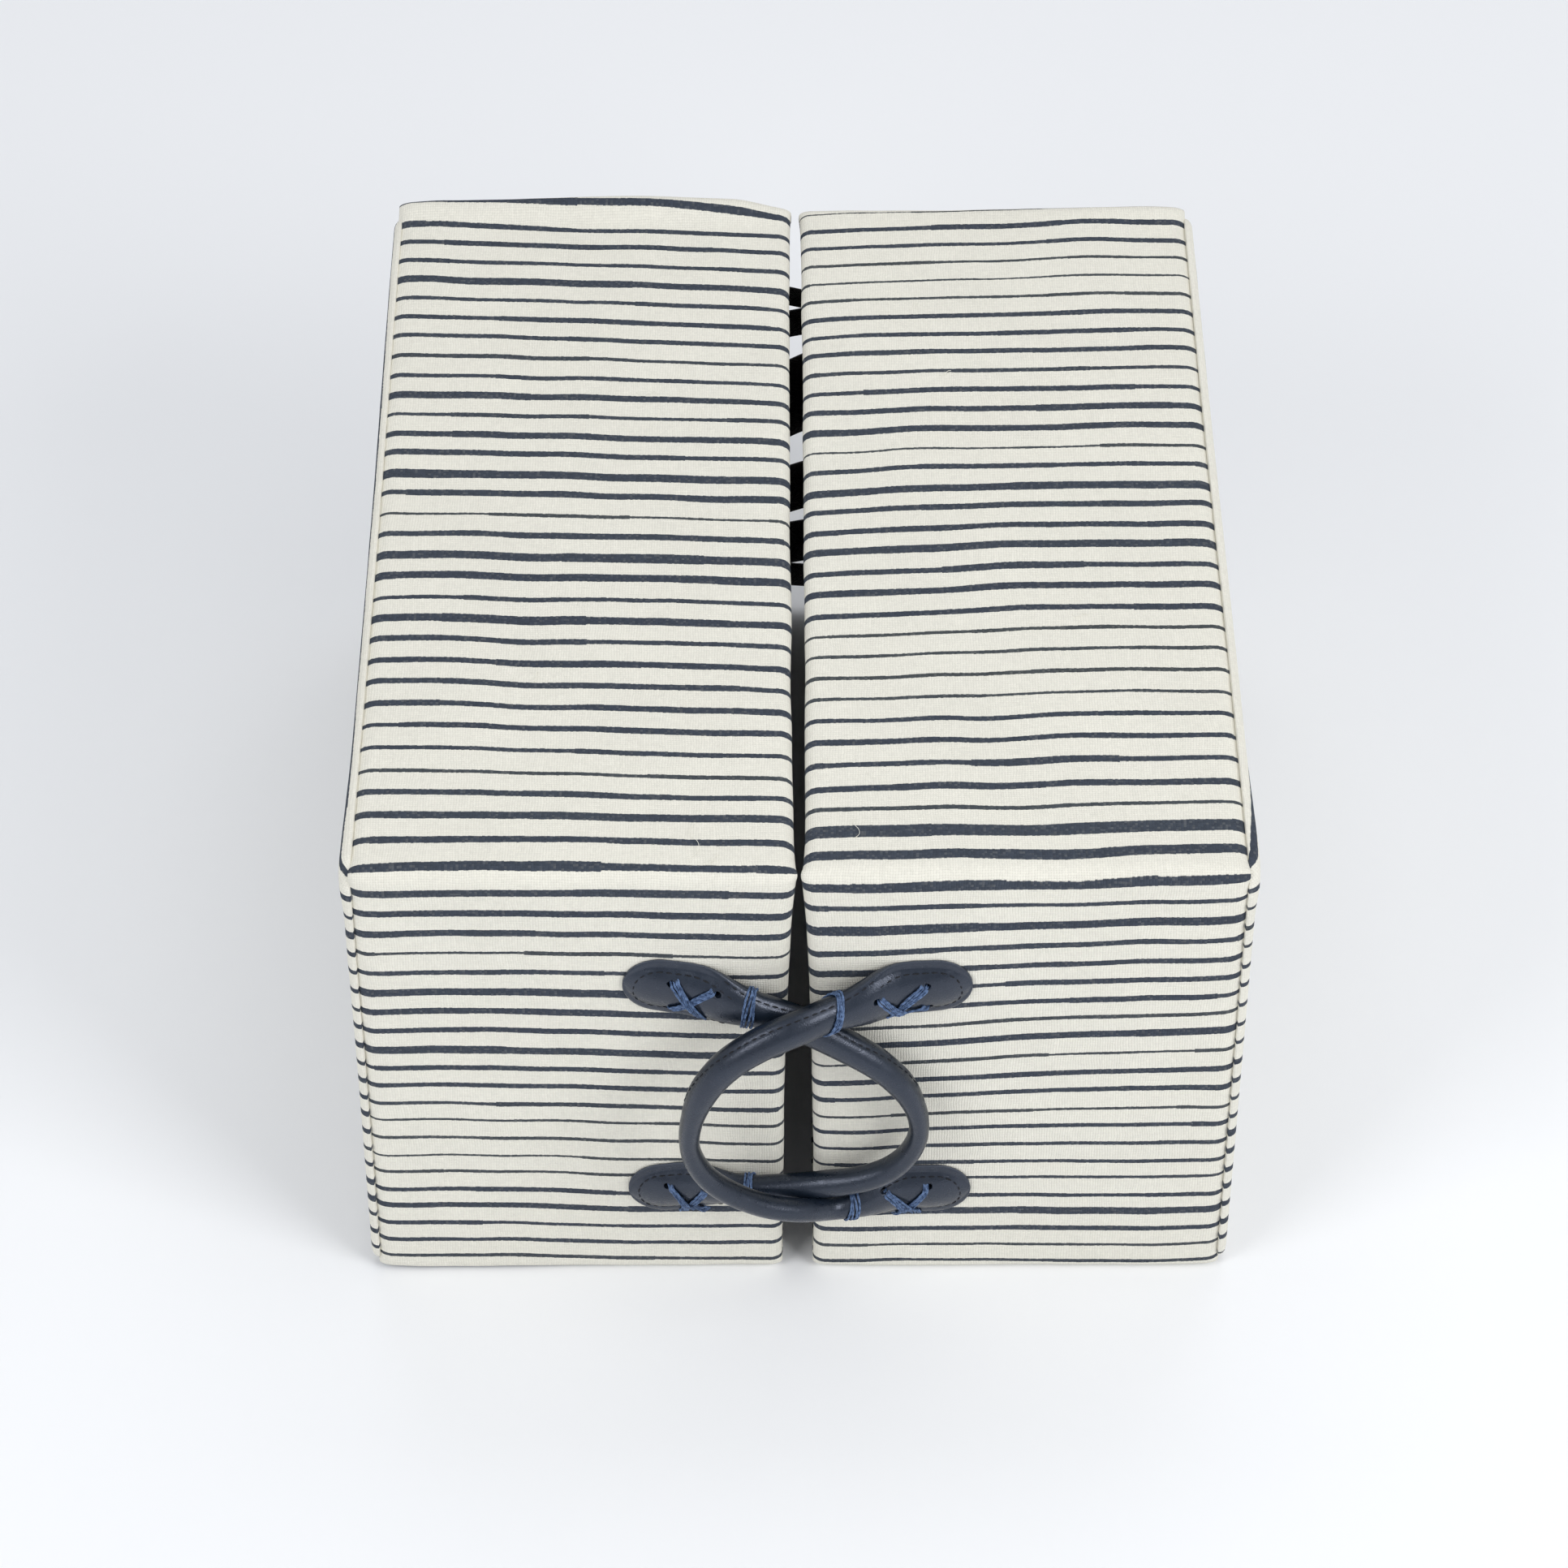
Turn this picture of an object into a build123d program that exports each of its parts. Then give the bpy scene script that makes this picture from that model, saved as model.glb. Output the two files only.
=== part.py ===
"""Photo storage case in two deep halves that meet mouth to mouth.

Each half is a box of greyboard, padded and covered in striped canvas, open on
the side that faces the other half. Black webbing straps join the halves at
the rear, and the case opens about them like a book. A rolled leather handle
on each half reaches across the mouth and overlaps the other one.

Millimetres. +X to the right, +Y to the rear, +Z up. The origin is the centre
of the overall box, at the base. The two mouths face each other at X = 0, and
both halves lean a little apart towards the base.
"""

from build123d import *
import math
import os

# Overall sizes
half_width = 160.0
depth = 365.0
height = 225.0
mouth_gap_top = 4.2
lean = 3.6

# Layers of a wall, from the outside in
canvas = 0.6
wadding = 1.4
board = 2.4
lining = 0.6
turn_in = 14.0
board_setback = 3.4

# Roundings of the padded wall
belt_radius = 6.0
rim_radius = 1.2
board_edge_radius = 2.2
cavity_radius = 1.0

# Outer side panel
panel = 3.2
panel_corner = 10.0
panel_edge = 1.2

# Leather handle
roll_radius = 5.0
bore_radius = 3.3
core_clearance = 0.1
hinge_gap = 0.35

# Stitched tab at each end of a handle
tab_width = 27.0
tab_thickness = 3.0
tab_neck_width = 13.0
tab_taper = 20.0
neck_collar = 6.0
seam = 0.01

# Thread: a cross through four holes, and turns round the neck
thread = 1.0
thread_clearance = 0.05
cross_length = 17.0
cross_width = 13.0
cross_offset = 9.0
hole_radius = 0.9
leg_radius = 0.8
bar_width = 2.4
bar_height = 1.1
wrap_turns = 3
wrap_pitch = 1.15

# Hinge straps: centre height at the hinge line, width, slope in degrees
strap = 1.2
strap_reach = 34.0
strap_corner = 3.0
strap_clearance = 0.15
strap_rows = [(168.7, 26.0, 3.0), (122.0, 43.0, 14.0), (70.0, 27.0, 10.0), (31.0, 38.0, 4.0)]

# Handle routes as (x, z, distance out from the front face), from root to root
routes = {
    "left": [
        (-14.5, 160.8, 6.4),
        (0.0, 153.6, 6.6),
        (18.0, 141.8, 8.0),
        (30.0, 132.4, 9.2),
        (39.5, 119.2, 10.2),
        (44.0, 104.0, 10.8),
        (42.9, 90.6, 11.0),
        (36.0, 77.4, 10.7),
        (24.0, 68.6, 9.8),
        (8.0, 62.8, 7.4),
        (-14.5, 61.4, 6.4),
    ],
    "right": [
        (13.0, 164.0, 10.0),
        (0.0, 163.6, 17.2),
        (-14.0, 158.4, 20.6),
        (-26.4, 148.0, 22.2),
        (-35.2, 132.6, 23.0),
        (-39.6, 113.0, 23.0),
        (-38.7, 97.4, 23.0),
        (-31.1, 82.2, 22.8),
        (-16.0, 67.3, 21.0),
        (-1.0, 58.0, 17.6),
        (13.0, 49.3, 10.0),
    ],
}

# Centres (x, z) of the round outer ends of the tabs
tab_centres = {
    ("left", "upper"): (-49.5, 168.2),
    ("left", "lower"): (-50.0, 52.6),
    ("right", "upper"): (48.5, 167.6),
    ("right", "lower"): (51.0, 51.8),
}

# Where each layer starts, measured in from the canvas surface
wadding_in = canvas
board_in = wadding_in + wadding
lining_in = board_in + board
cavity_in = lining_in + lining

# Places along the axes
belt_end = half_width - panel
handle_reach = max(point[2] for points in routes.values() for point in points) + roll_radius
front_y = (handle_reach - strap - depth) / 2
rear_y = front_y + depth
middle_y = front_y + depth / 2

signs = {"left": -1, "right": 1}


def leaning_plane(side, distance):
    """A plane that leans with a half, this far out from X = 0 at the top, facing outwards."""
    return Plane(
        origin=(side * distance, 0, height),
        x_dir=(0, 1, 0),
        z_dir=(side * height, 0, lean),
    )


def mouth_plane(side, inset):
    """The plane of a half's mouth, moved into the half by inset."""
    return leaning_plane(side, mouth_gap_top / 2 + inset)


def mouth_edges(solid, side):
    """The edges round the face nearest to the other half."""
    return solid.faces().sort_by(Axis.X, reverse=side < 0)[0].edges()


def wall_block(side, inset, start, corner, end=belt_end, rim=0.0):
    """The wall's outline, inset all round, from start inside the mouth out to end."""
    with BuildPart() as block:
        with BuildSketch(Plane.YZ):
            with Locations((middle_y, height / 2)):
                if corner > 0:
                    RectangleRounded(depth - 2 * inset, height - 2 * inset, corner)
                else:
                    Rectangle(depth - 2 * inset, height - 2 * inset)
        extrude(amount=side * (end + lean))
        split(bisect_by=mouth_plane(side, start), keep=Keep.TOP)
        split(bisect_by=leaning_plane(side, end), keep=Keep.BOTTOM)
        if rim > 0:
            fillet(mouth_edges(block, side), rim)
    return block.part


def make_wall_cover(side):
    """Canvas round the four walls, over the rim and a little way inside."""
    with BuildPart() as cover:
        add(wall_block(side, 0, 0, belt_radius, rim=rim_radius))
        add(
            wall_block(side, canvas, canvas, belt_radius - canvas, rim=rim_radius - canvas),
            mode=Mode.SUBTRACT,
        )
        with BuildPart(mode=Mode.PRIVATE) as turned:
            add(wall_block(side, lining_in, canvas / 2, 0))
            split(bisect_by=mouth_plane(side, turn_in), keep=Keep.BOTTOM)
        add(turned.part)
        add(wall_block(side, cavity_in, -mouth_gap_top / 2, cavity_radius), mode=Mode.SUBTRACT)
    return cover


def make_wall_wadding(side):
    """The wadding between the canvas and the boards, and over the boards' mouth edges."""
    with BuildPart() as layer:
        add(wall_block(side, wadding_in, canvas, belt_radius - canvas, rim=rim_radius - canvas))
        add(wall_block(side, board_in, board_setback, board_edge_radius), mode=Mode.SUBTRACT)
        add(wall_block(side, lining_in, 0, 0), mode=Mode.SUBTRACT)
    return layer


def make_wall_board(side, wall):
    """One greyboard wall. The top and bottom lap the front and rear."""
    flat = wall in ("top", "bottom")
    outer_y = depth / 2 - board_in - board / 2
    outer_z = height / 2 - board_in - board / 2
    along = depth - 2 * board_in if flat else board
    tall = board if flat else height - 2 * lining_in
    centre = {
        "top": (middle_y, height / 2 + outer_z),
        "bottom": (middle_y, height / 2 - outer_z),
        "front": (middle_y - outer_y, height / 2),
        "rear": (middle_y + outer_y, height / 2),
    }[wall]
    with BuildPart() as sheet:
        with BuildSketch(Plane.YZ) as outline:
            with Locations(centre):
                Rectangle(along, tall)
            if flat:
                outer = outline.vertices().group_by(Axis.Y)[-1 if wall == "top" else 0]
                fillet(outer, board_edge_radius)
        extrude(amount=side * (belt_end + lean))
        split(bisect_by=mouth_plane(side, board_setback), keep=Keep.TOP)
        split(bisect_by=leaning_plane(side, belt_end), keep=Keep.BOTTOM)
    return sheet


def make_lining(side):
    """Dark cloth on the inside of the walls and of the side panel."""
    with BuildPart() as cloth:
        add(wall_block(side, lining_in, turn_in, 0))
        add(
            wall_block(side, cavity_in, 0, cavity_radius, end=belt_end - lining),
            mode=Mode.SUBTRACT,
        )
    return cloth


def panel_block(side, inset, thickness):
    """The side panel's outline, inset all round, from the walls outwards."""
    with BuildPart() as block:
        with BuildSketch(Plane.YZ):
            with Locations((middle_y, height / 2)):
                RectangleRounded(depth - 2 * inset, height - 2 * inset, panel_corner - inset)
        extrude(amount=side * (half_width + lean))
        split(bisect_by=leaning_plane(side, belt_end), keep=Keep.TOP)
        split(bisect_by=leaning_plane(side, belt_end + thickness), keep=Keep.BOTTOM)
    return block.part


def make_side_cover(side):
    """Canvas over the outer face and the edges of the side panel."""
    with BuildPart() as cover:
        add(panel_block(side, 0, panel))
        broad_faces = cover.faces().sort_by(SortBy.AREA)[-2:]
        outer_face = broad_faces.sort_by(Axis.X, reverse=side > 0)[0]
        fillet(outer_face.edges(), panel_edge)
        add(panel_block(side, canvas, panel - canvas), mode=Mode.SUBTRACT)
    return cover


def make_side_board(side):
    """The greyboard of the side panel, which closes the half."""
    with BuildPart() as sheet:
        add(panel_block(side, canvas, panel - canvas))
    return sheet


def route_point(point):
    """A handle's route point in the part's frame."""
    x, z, out = point
    return Vector(x, front_y - out, z)


def route(half, end):
    """A handle's points, starting from its upper or lower root."""
    points = [route_point(point) for point in routes[half]]
    return points if end == "upper" else points[::-1]


def root_plane(half, end, back):
    """A plane across the neck, this far back from the root, facing the handle."""
    first, second = route(half, end)[:2]
    direction = (second - first).normalized()
    return Plane(
        origin=first - direction * back,
        x_dir=tab_plane(half, end).y_dir,
        z_dir=direction,
    )


def tab_plane(half, end):
    """The tab's own plane on the front face, with local X towards its root."""
    centre_x, centre_z = tab_centres[half, end]
    root = route(half, end)[0]
    return Plane(
        origin=(centre_x, front_y, centre_z),
        x_dir=(root.X - centre_x, 0, root.Z - centre_z),
        z_dir=(0, -1, 0),
    )


def cross_points():
    """The four thread holes in the tab's plane."""
    return [
        (cross_offset + i * cross_length / 2, j * cross_width / 2)
        for i in (-1, 1)
        for j in (-1, 1)
    ]


def make_tab(half, end):
    """A flat teardrop of leather whose narrow end rolls up into a round neck."""
    face = tab_plane(half, end)
    taper_start = face.from_local_coords(Vector(tab_taper, 0, tab_thickness / 2))
    with BuildPart() as tab:
        with BuildSketch(face):
            Circle(tab_width / 2)
            with Locations((tab_taper, 0)):
                Circle(tab_neck_width / 2)
            make_hull()
            with Locations(cross_points()):
                Circle(hole_radius, mode=Mode.SUBTRACT)
        extrude(amount=tab_thickness)
        with BuildSketch(Plane(origin=taper_start, x_dir=face.y_dir, z_dir=face.x_dir)):
            RectangleRounded(tab_neck_width, tab_thickness, tab_thickness / 2 - seam)
        with BuildSketch(root_plane(half, end, neck_collar)):
            RectangleRounded(2 * roll_radius, 2 * roll_radius, roll_radius - seam)
        loft()
        with BuildSketch(root_plane(half, end, neck_collar)):
            Circle(roll_radius)
        extrude(amount=neck_collar - hinge_gap)
    return tab


def make_cross_stitches(half):
    """The thread crosses of both tabs: two bars each, one over the other."""
    length = math.hypot(cross_length, cross_width) + bar_width
    angle = math.degrees(math.atan2(cross_width, cross_length))
    with BuildPart() as stitches:
        for end in ("upper", "lower"):
            face = tab_plane(half, end)
            for layer, turn in enumerate((angle, -angle)):
                level = tab_thickness + layer * bar_height
                with BuildSketch(face.offset(level)):
                    with Locations(Location((cross_offset, 0, 0), (0, 0, turn))):
                        SlotOverall(length, bar_width)
                extrude(amount=bar_height)
                ends = [p for p in cross_points() if (p[1] > 0) == ((p[0] > cross_offset) == (turn > 0))]
                with BuildSketch(face):
                    with Locations(ends):
                        Circle(leg_radius)
                extrude(amount=level)
    return stitches


def make_thread_wraps(half):
    """Turns of thread round the neck of both tabs, where the roll begins."""
    with BuildPart() as wraps:
        for end in ("upper", "lower"):
            for turn in range(wrap_turns):
                back = neck_collar / 2 + (turn - (wrap_turns - 1) / 2) * wrap_pitch
                with Locations(root_plane(half, end, back)):
                    Torus(roll_radius + thread_clearance + thread / 2, thread / 2)
    return wraps


def bend_radii(points):
    """For each inner point, the largest arc that its two runs leave room for."""
    radii = []
    for before, point, after in zip(points, points[1:], points[2:]):
        turn = (point - before).get_angle(after - point)
        shorter = min((point - before).length, (after - point).length)
        radii.append(0.45 * shorter / math.tan(math.radians(turn) / 2))
    return radii


def make_roll(half, radius, bore):
    """A round rod, or a tube, along the handle's route."""
    points = route(half, "upper")
    with BuildPart() as rod:
        with BuildLine():
            FilletPolyline(*points, radius=bend_radii(points))
        with BuildSketch(root_plane(half, "upper", 0)):
            Circle(radius)
            if bore > 0:
                Circle(bore, mode=Mode.SUBTRACT)
        sweep()
    return rod


def make_strap_leaves(side):
    """One half's leaves of the four webbing straps across the rear."""
    with BuildPart() as leaves:
        for centre_z, width, slope in strap_rows:
            rise = math.tan(math.radians(slope))
            near, far = side * strap_clearance, side * strap_reach
            with BuildSketch(Plane.XZ.offset(-rear_y)) as leaf:
                with BuildLine():
                    Polyline(
                        (near, centre_z - width / 2 + near * rise),
                        (far, centre_z - width / 2 + far * rise),
                        (far, centre_z + width / 2 + far * rise),
                        (near, centre_z + width / 2 + near * rise),
                        close=True,
                    )
                make_face()
                fillet(leaf.vertices().group_by(Axis.X)[-1 if side > 0 else 0], strap_corner)
            extrude(amount=-strap)
    return leaves


def finish(builder, name):
    """Label one piece and write it to its own file."""
    builder.part.label = name
    export_step(builder.part, f"parts/{name}.step")


os.makedirs("parts", exist_ok=True)

for half, side in signs.items():
    finish(make_side_board(side), f"{half}_side_board")
    finish(make_side_cover(side), f"{half}_side_cover")
    for wall in ("top", "bottom", "front", "rear"):
        finish(make_wall_board(side, wall), f"{half}_{wall}_board")
    finish(make_wall_wadding(side), f"{half}_wall_wadding")
    finish(make_wall_cover(side), f"{half}_wall_cover")
    finish(make_lining(side), f"{half}_lining")
    for end in ("upper", "lower"):
        finish(make_tab(half, end), f"{half}_{end}_tab")
    finish(make_cross_stitches(half), f"{half}_cross_stitches")
    finish(make_thread_wraps(half), f"{half}_thread_wraps")
    finish(make_strap_leaves(side), f"{half}_strap_leaves")
    finish(make_roll(half, roll_radius, bore_radius), f"{half}_handle_roll")
    finish(make_roll(half, bore_radius - core_clearance, 0), f"{half}_handle_core")
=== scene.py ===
"""Looks of a photo storage case: striped canvas over wadded boards, rolled leather
handles, thread and webbing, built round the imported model."""

import math

import bmesh
import bpy
import numpy as np
from mathutils import Euler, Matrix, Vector, noise


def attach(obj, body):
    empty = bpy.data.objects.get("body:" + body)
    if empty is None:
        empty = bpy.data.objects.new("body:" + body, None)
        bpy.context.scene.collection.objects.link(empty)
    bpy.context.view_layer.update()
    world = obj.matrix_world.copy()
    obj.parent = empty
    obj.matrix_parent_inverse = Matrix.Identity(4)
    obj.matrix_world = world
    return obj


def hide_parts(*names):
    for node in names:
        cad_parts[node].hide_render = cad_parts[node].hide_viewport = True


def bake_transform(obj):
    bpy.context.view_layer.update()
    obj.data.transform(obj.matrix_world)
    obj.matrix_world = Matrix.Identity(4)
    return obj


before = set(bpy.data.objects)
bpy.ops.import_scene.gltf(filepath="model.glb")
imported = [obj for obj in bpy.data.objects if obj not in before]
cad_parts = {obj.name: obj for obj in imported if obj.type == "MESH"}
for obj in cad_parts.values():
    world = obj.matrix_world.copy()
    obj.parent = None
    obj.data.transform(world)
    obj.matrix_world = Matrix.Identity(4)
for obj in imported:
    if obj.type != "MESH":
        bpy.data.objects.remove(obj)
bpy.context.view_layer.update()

MM = 0.001

# The case in millimetres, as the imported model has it
HEIGHT = 225.0
FRONT, REAR = -169.1, 195.9
MIDDLE = (FRONT + REAR) / 2
MOUTH = 2.1  # from the middle of the case to each mouth, at the top
LEAN = 3.6  # how much further out a half stands at its base
BELT_END = 156.8
BELT_RADIUS = 6.0
PANEL = 3.2
PANEL_CORNER = 10.0
WALL = 5.0
BELT_WIDTH = BELT_END - MOUTH

# Canvas: thickness, soft roundings at the mouth and at the outer crease, turn-in
CANVAS = 0.55
RIM_RUN, RIM_DEPTH = 5.0, 3.8
SHOULDER_RUN, SHOULDER_DEPTH = 6.4, 4.0
TURN_IN = 13.6

# Canvas threads, drawn far enough apart for the weave to show, and mean stripe spacing
THREAD = 0.95
PITCH = 10.8

SIDES = {"left": -1, "right": 1}


# ---------------------------------------------------------------- nodes


def linear(code):
    """An sRGB hex colour as linear red, green, blue and alpha."""
    parts = [int(code[i : i + 2], 16) / 255 for i in (1, 3, 5)]
    return tuple(c / 12.92 if c <= 0.04045 else ((c + 0.055) / 1.055) ** 2.4 for c in parts) + (1.0,)


def add(tree, kind, sockets=(), **settings):
    """Adds a node. Sockets are values, nodes or output sockets, in order or by name."""
    made = tree.nodes.new(kind)
    for key, value in settings.items():
        setattr(made, key, value)
    items = sockets.items() if isinstance(sockets, dict) else enumerate(sockets)
    for key, source in items:
        if source is None:
            continue
        if isinstance(source, bpy.types.Node):
            source = source.outputs[0]
        if isinstance(source, bpy.types.NodeSocket):
            tree.links.new(source, made.inputs[key])
        else:
            made.inputs[key].default_value = source
    return made


def new_material(name):
    """An empty node material with its tree and its shader."""
    material = bpy.data.materials.new(name)
    material.use_nodes = True
    tree = material.node_tree
    tree.nodes.clear()
    shader = add(tree, "ShaderNodeBsdfPrincipled")
    add(tree, "ShaderNodeOutputMaterial", {"Surface": shader})
    return material, tree, shader


MATH = "ShaderNodeMath"
RANGE = "ShaderNodeMapRange"
MIXED = 2  # which output of a Mix node holds the mixed colour


# ---------------------------------------------------------------- materials


def stripe_lines(tree, across, phase):
    """How far a place lies from the middle of its stripe, the stripe's number, and three
    random traits that belong to that number."""
    index = add(tree, MATH, (phase,), operation="ROUND")
    traits = add(tree, "ShaderNodeTexWhiteNoise", {"W": index}, noise_dimensions="1D")
    traits = add(tree, "ShaderNodeSeparateColor", {"Color": traits.outputs["Color"]})
    offset = add(tree, MATH, (phase, index), operation="SUBTRACT")
    distance = add(tree, MATH, (offset, PITCH), operation="MULTIPLY")
    shift = add(tree, MATH, (traits.outputs[0], 0.9, -0.45), operation="MULTIPLY_ADD")
    distance = add(tree, MATH, (distance, shift), operation="SUBTRACT")

    # The line wanders slowly, and less and faster besides
    for scale, reach, seed in ((0.011, 0.9, 3.7), (0.04, 0.5, 11.3), (0.13, 0.2, 23.9)):
        place = add(tree, MATH, (across, scale), operation="MULTIPLY")
        row = add(tree, MATH, (index, seed), operation="MULTIPLY")
        place = add(tree, "ShaderNodeCombineXYZ", (place, row))
        wander = add(tree, "ShaderNodeTexNoise", {"Vector": place, "Scale": 1.0, "Detail": 1.0})
        wander = add(tree, MATH, (wander, -0.5), operation="ADD")
        distance = add(tree, MATH, (wander, reach, distance), operation="MULTIPLY_ADD")
    return distance, index, traits


def woven_threads(tree, warp, weft):
    """Places counted in threads both ways, slightly uneven, and the threads' numbers."""
    uneven = {"Vector": add(tree, "ShaderNodeUVMap", uv_map="threads"), "Scale": 0.05, "Detail": 2.0}
    uneven = add(tree, MATH, (add(tree, "ShaderNodeTexNoise", uneven), 3.0), operation="MULTIPLY")
    places, numbers = [], []
    for length in (warp, weft):
        places.append(add(tree, MATH, (length, 1 / THREAD, uneven), operation="MULTIPLY_ADD"))
        numbers.append(add(tree, MATH, (places[-1],), operation="FLOOR"))
    return places, numbers


def draw_for_cell(tree, row, column):
    """Three random values for each cell of a grid, on the outputs of one node."""
    cell = add(tree, "ShaderNodeCombineXYZ", (row, column))
    cell = add(tree, "ShaderNodeTexWhiteNoise", {"Vector": cell}, noise_dimensions="2D")
    return add(tree, "ShaderNodeSeparateColor", {"Color": cell.outputs["Color"]})


def stripe_ink(tree, across, width, lines, warp_number, crossing):
    """How much ink lies at a place, from 0 to 1."""
    distance, index, traits = lines

    # Both edges step from thread to thread
    jag = draw_for_cell(tree, warp_number, index)
    side = add(tree, MATH, (distance,), operation="SIGN")
    upper = add(tree, MATH, (side, 0.5, 0.5), operation="MULTIPLY_ADD")
    jagged = add(tree, "ShaderNodeMix", {"Factor": upper, "A": jag.outputs[0], "B": jag.outputs[1]})
    reach = add(tree, MATH, (distance,), operation="ABSOLUTE")
    reach = add(tree, MATH, (jagged.outputs[0], 0.2, reach), operation="MULTIPLY_ADD")

    # The brush is lifted and set down again, so the thickness steps along the stripe
    stroke = add(tree, MATH, (traits.outputs[1], 60.0, across), operation="MULTIPLY_ADD")
    stroke = add(tree, MATH, (stroke, 0.019), operation="MULTIPLY")
    stroke = add(tree, "ShaderNodeCombineXYZ", (add(tree, MATH, (stroke,), operation="FLOOR"), index))
    stroke = add(tree, "ShaderNodeTexWhiteNoise", {"Vector": stroke}, noise_dimensions="2D")
    stroke = add(tree, MATH, (stroke.outputs["Value"], 0.5, -0.02), operation="MULTIPLY_ADD")
    swell = add(tree, MATH, (across, 0.03), operation="MULTIPLY")
    swell = add(tree, "ShaderNodeCombineXYZ", (swell, index, 5.0))
    swell = add(tree, "ShaderNodeTexNoise", {"Vector": swell, "Scale": 1.0, "Detail": 2.0})
    stroke = add(tree, MATH, (swell, 0.7, stroke), operation="MULTIPLY_ADD")
    half = add(tree, MATH, (width, 0.5, -0.45), operation="MULTIPLY_ADD")
    half = add(tree, MATH, (half, stroke), operation="ADD")
    inside = add(tree, MATH, (half, reach), operation="SUBTRACT")
    ink = add(tree, RANGE, {"Value": inside, "From Min": -0.12, "From Max": 0.12})

    # Ink lies thinner on a few thread crossings
    worn = {"Value": crossing.outputs[0], "From Max": 0.25, "To Min": 0.94, "To Max": 1.0}
    return add(tree, MATH, (ink, add(tree, RANGE, worn)), operation="MULTIPLY")


def ink_colour(tree, width, traits, crossing):
    """Navy on the broad stripes, charcoal on the thin ones, with a little mottling."""
    thin = add(tree, RANGE, {"Value": width, "From Min": 2.3, "From Max": 1.7})
    dark = {"Factor": thin, "A": linear("#3A414D"), "B": linear("#454A4D")}
    dark = add(tree, "ShaderNodeMix", dark, data_type="RGBA")
    tint = add(tree, MATH, (traits.outputs[2], 0.4), operation="MULTIPLY")
    dark = {"Factor": tint, "A": dark.outputs[MIXED], "B": linear("#424952")}
    dark = add(tree, "ShaderNodeMix", dark, data_type="RGBA")
    speck = add(tree, RANGE, {"Value": crossing.outputs[1], "To Min": 0.88, "To Max": 1.14})
    dark = {"Vector": dark.outputs[MIXED], "Scale": speck}
    return add(tree, "ShaderNodeVectorMath", dark, operation="SCALE")


def weave_relief(tree, places):
    """Over-and-under threads: round crests that change places from crossing to crossing."""
    crests = []
    for place in places:
        turn = add(tree, MATH, (place, math.pi), operation="MULTIPLY")
        crests.append(add(tree, MATH, (turn,), operation="SINE"))
    over = add(tree, MATH, (*crests,), operation="MULTIPLY")
    over = add(tree, MATH, (over, 0.5, 0.5), operation="MULTIPLY_ADD")
    rounds = [add(tree, MATH, (crest,), operation="ABSOLUTE") for crest in crests]
    return add(tree, "ShaderNodeMix", {"Factor": over, "A": rounds[0], "B": rounds[1]})


def thread_slubs(tree, places, numbers):
    """Thicker and thinner stretches that run along single threads both ways."""
    slubs = []
    for place, number in ((places[0], numbers[1]), (places[1], numbers[0])):
        along = add(tree, MATH, (place, 0.11), operation="MULTIPLY")
        along = add(tree, "ShaderNodeCombineXYZ", (along, number))
        slubs.append(add(tree, "ShaderNodeTexNoise", {"Vector": along, "Scale": 1.0, "Detail": 2.0}))
    return add(tree, MATH, (*slubs,), operation="ADD")


def make_striped_canvas():
    """Heavy undyed cotton canvas in plain weave, printed with hand-drawn navy lines: matt,
    slightly slubby, with the ink's edges stepping from thread to thread."""
    material, tree, shader = new_material("striped_canvas")
    pattern = add(tree, "ShaderNodeSeparateXYZ", (add(tree, "ShaderNodeUVMap", uv_map="pattern"),))
    across, phase = pattern.outputs[0], pattern.outputs[1]
    weave = add(tree, "ShaderNodeSeparateXYZ", (add(tree, "ShaderNodeUVMap", uv_map="threads"),))
    warp, weft = weave.outputs[0], weave.outputs[1]
    width = add(tree, "ShaderNodeAttribute", attribute_name="stripe_width").outputs["Fac"]

    lines = stripe_lines(tree, across, phase)
    places, numbers = woven_threads(tree, warp, weft)
    crossing = draw_for_cell(tree, *numbers)
    ink = stripe_ink(tree, across, width, lines, numbers[0], crossing)
    dark = ink_colour(tree, width, lines[2], crossing)
    relief = weave_relief(tree, places)
    slub = thread_slubs(tree, places, numbers)

    # Bare cloth is made lighter and darker by its slubs, its grain and soft blotches, and the valleys of the
    # weave get painted shade
    patch = add(tree, "ShaderNodeCombineXYZ", (warp, weft))
    patch = add(tree, "ShaderNodeTexNoise", {"Vector": patch, "Scale": 0.021, "Detail": 3.0})
    shade = {"Value": slub, "From Min": 0.6, "From Max": 1.4, "To Min": 0.94, "To Max": 1.03}
    shade = add(tree, RANGE, shade)
    grain = {"Value": crossing.outputs[2], "To Min": 0.965, "To Max": 1.02}
    # Painted shade: the valleys of the weave are darker
    valley_shade = {"Value": relief.outputs[0], "From Max": 0.6, "To Min": 0.895}
    blotch = {"Value": patch, "From Min": 0.3, "From Max": 0.7, "To Min": 0.975, "To Max": 1.01}
    for part in (grain, valley_shade, blotch):
        shade = add(tree, MATH, (shade, add(tree, RANGE, part)), operation="MULTIPLY")
    cloth = add(tree, "ShaderNodeRGB")
    cloth.outputs[0].default_value = linear("#EFECE0")
    cloth = add(tree, "ShaderNodeVectorMath", {"Vector": cloth, "Scale": shade}, operation="SCALE")
    colour = add(tree, "ShaderNodeMix", {"Factor": ink, "A": cloth, "B": dark}, data_type="RGBA")
    tree.links.new(colour.outputs[MIXED], shader.inputs["Base Color"])

    relief = add(tree, MATH, (slub, 0.7, relief.outputs[0]), operation="MULTIPLY_ADD")
    bump = add(tree, "ShaderNodeBump", {"Height": relief, "Strength": 0.65, "Distance": 0.0004})
    tree.links.new(bump.outputs[0], shader.inputs["Normal"])
    shader.inputs["Roughness"].default_value = 0.9
    shader.inputs["IOR"].default_value = 1.4
    return material


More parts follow.
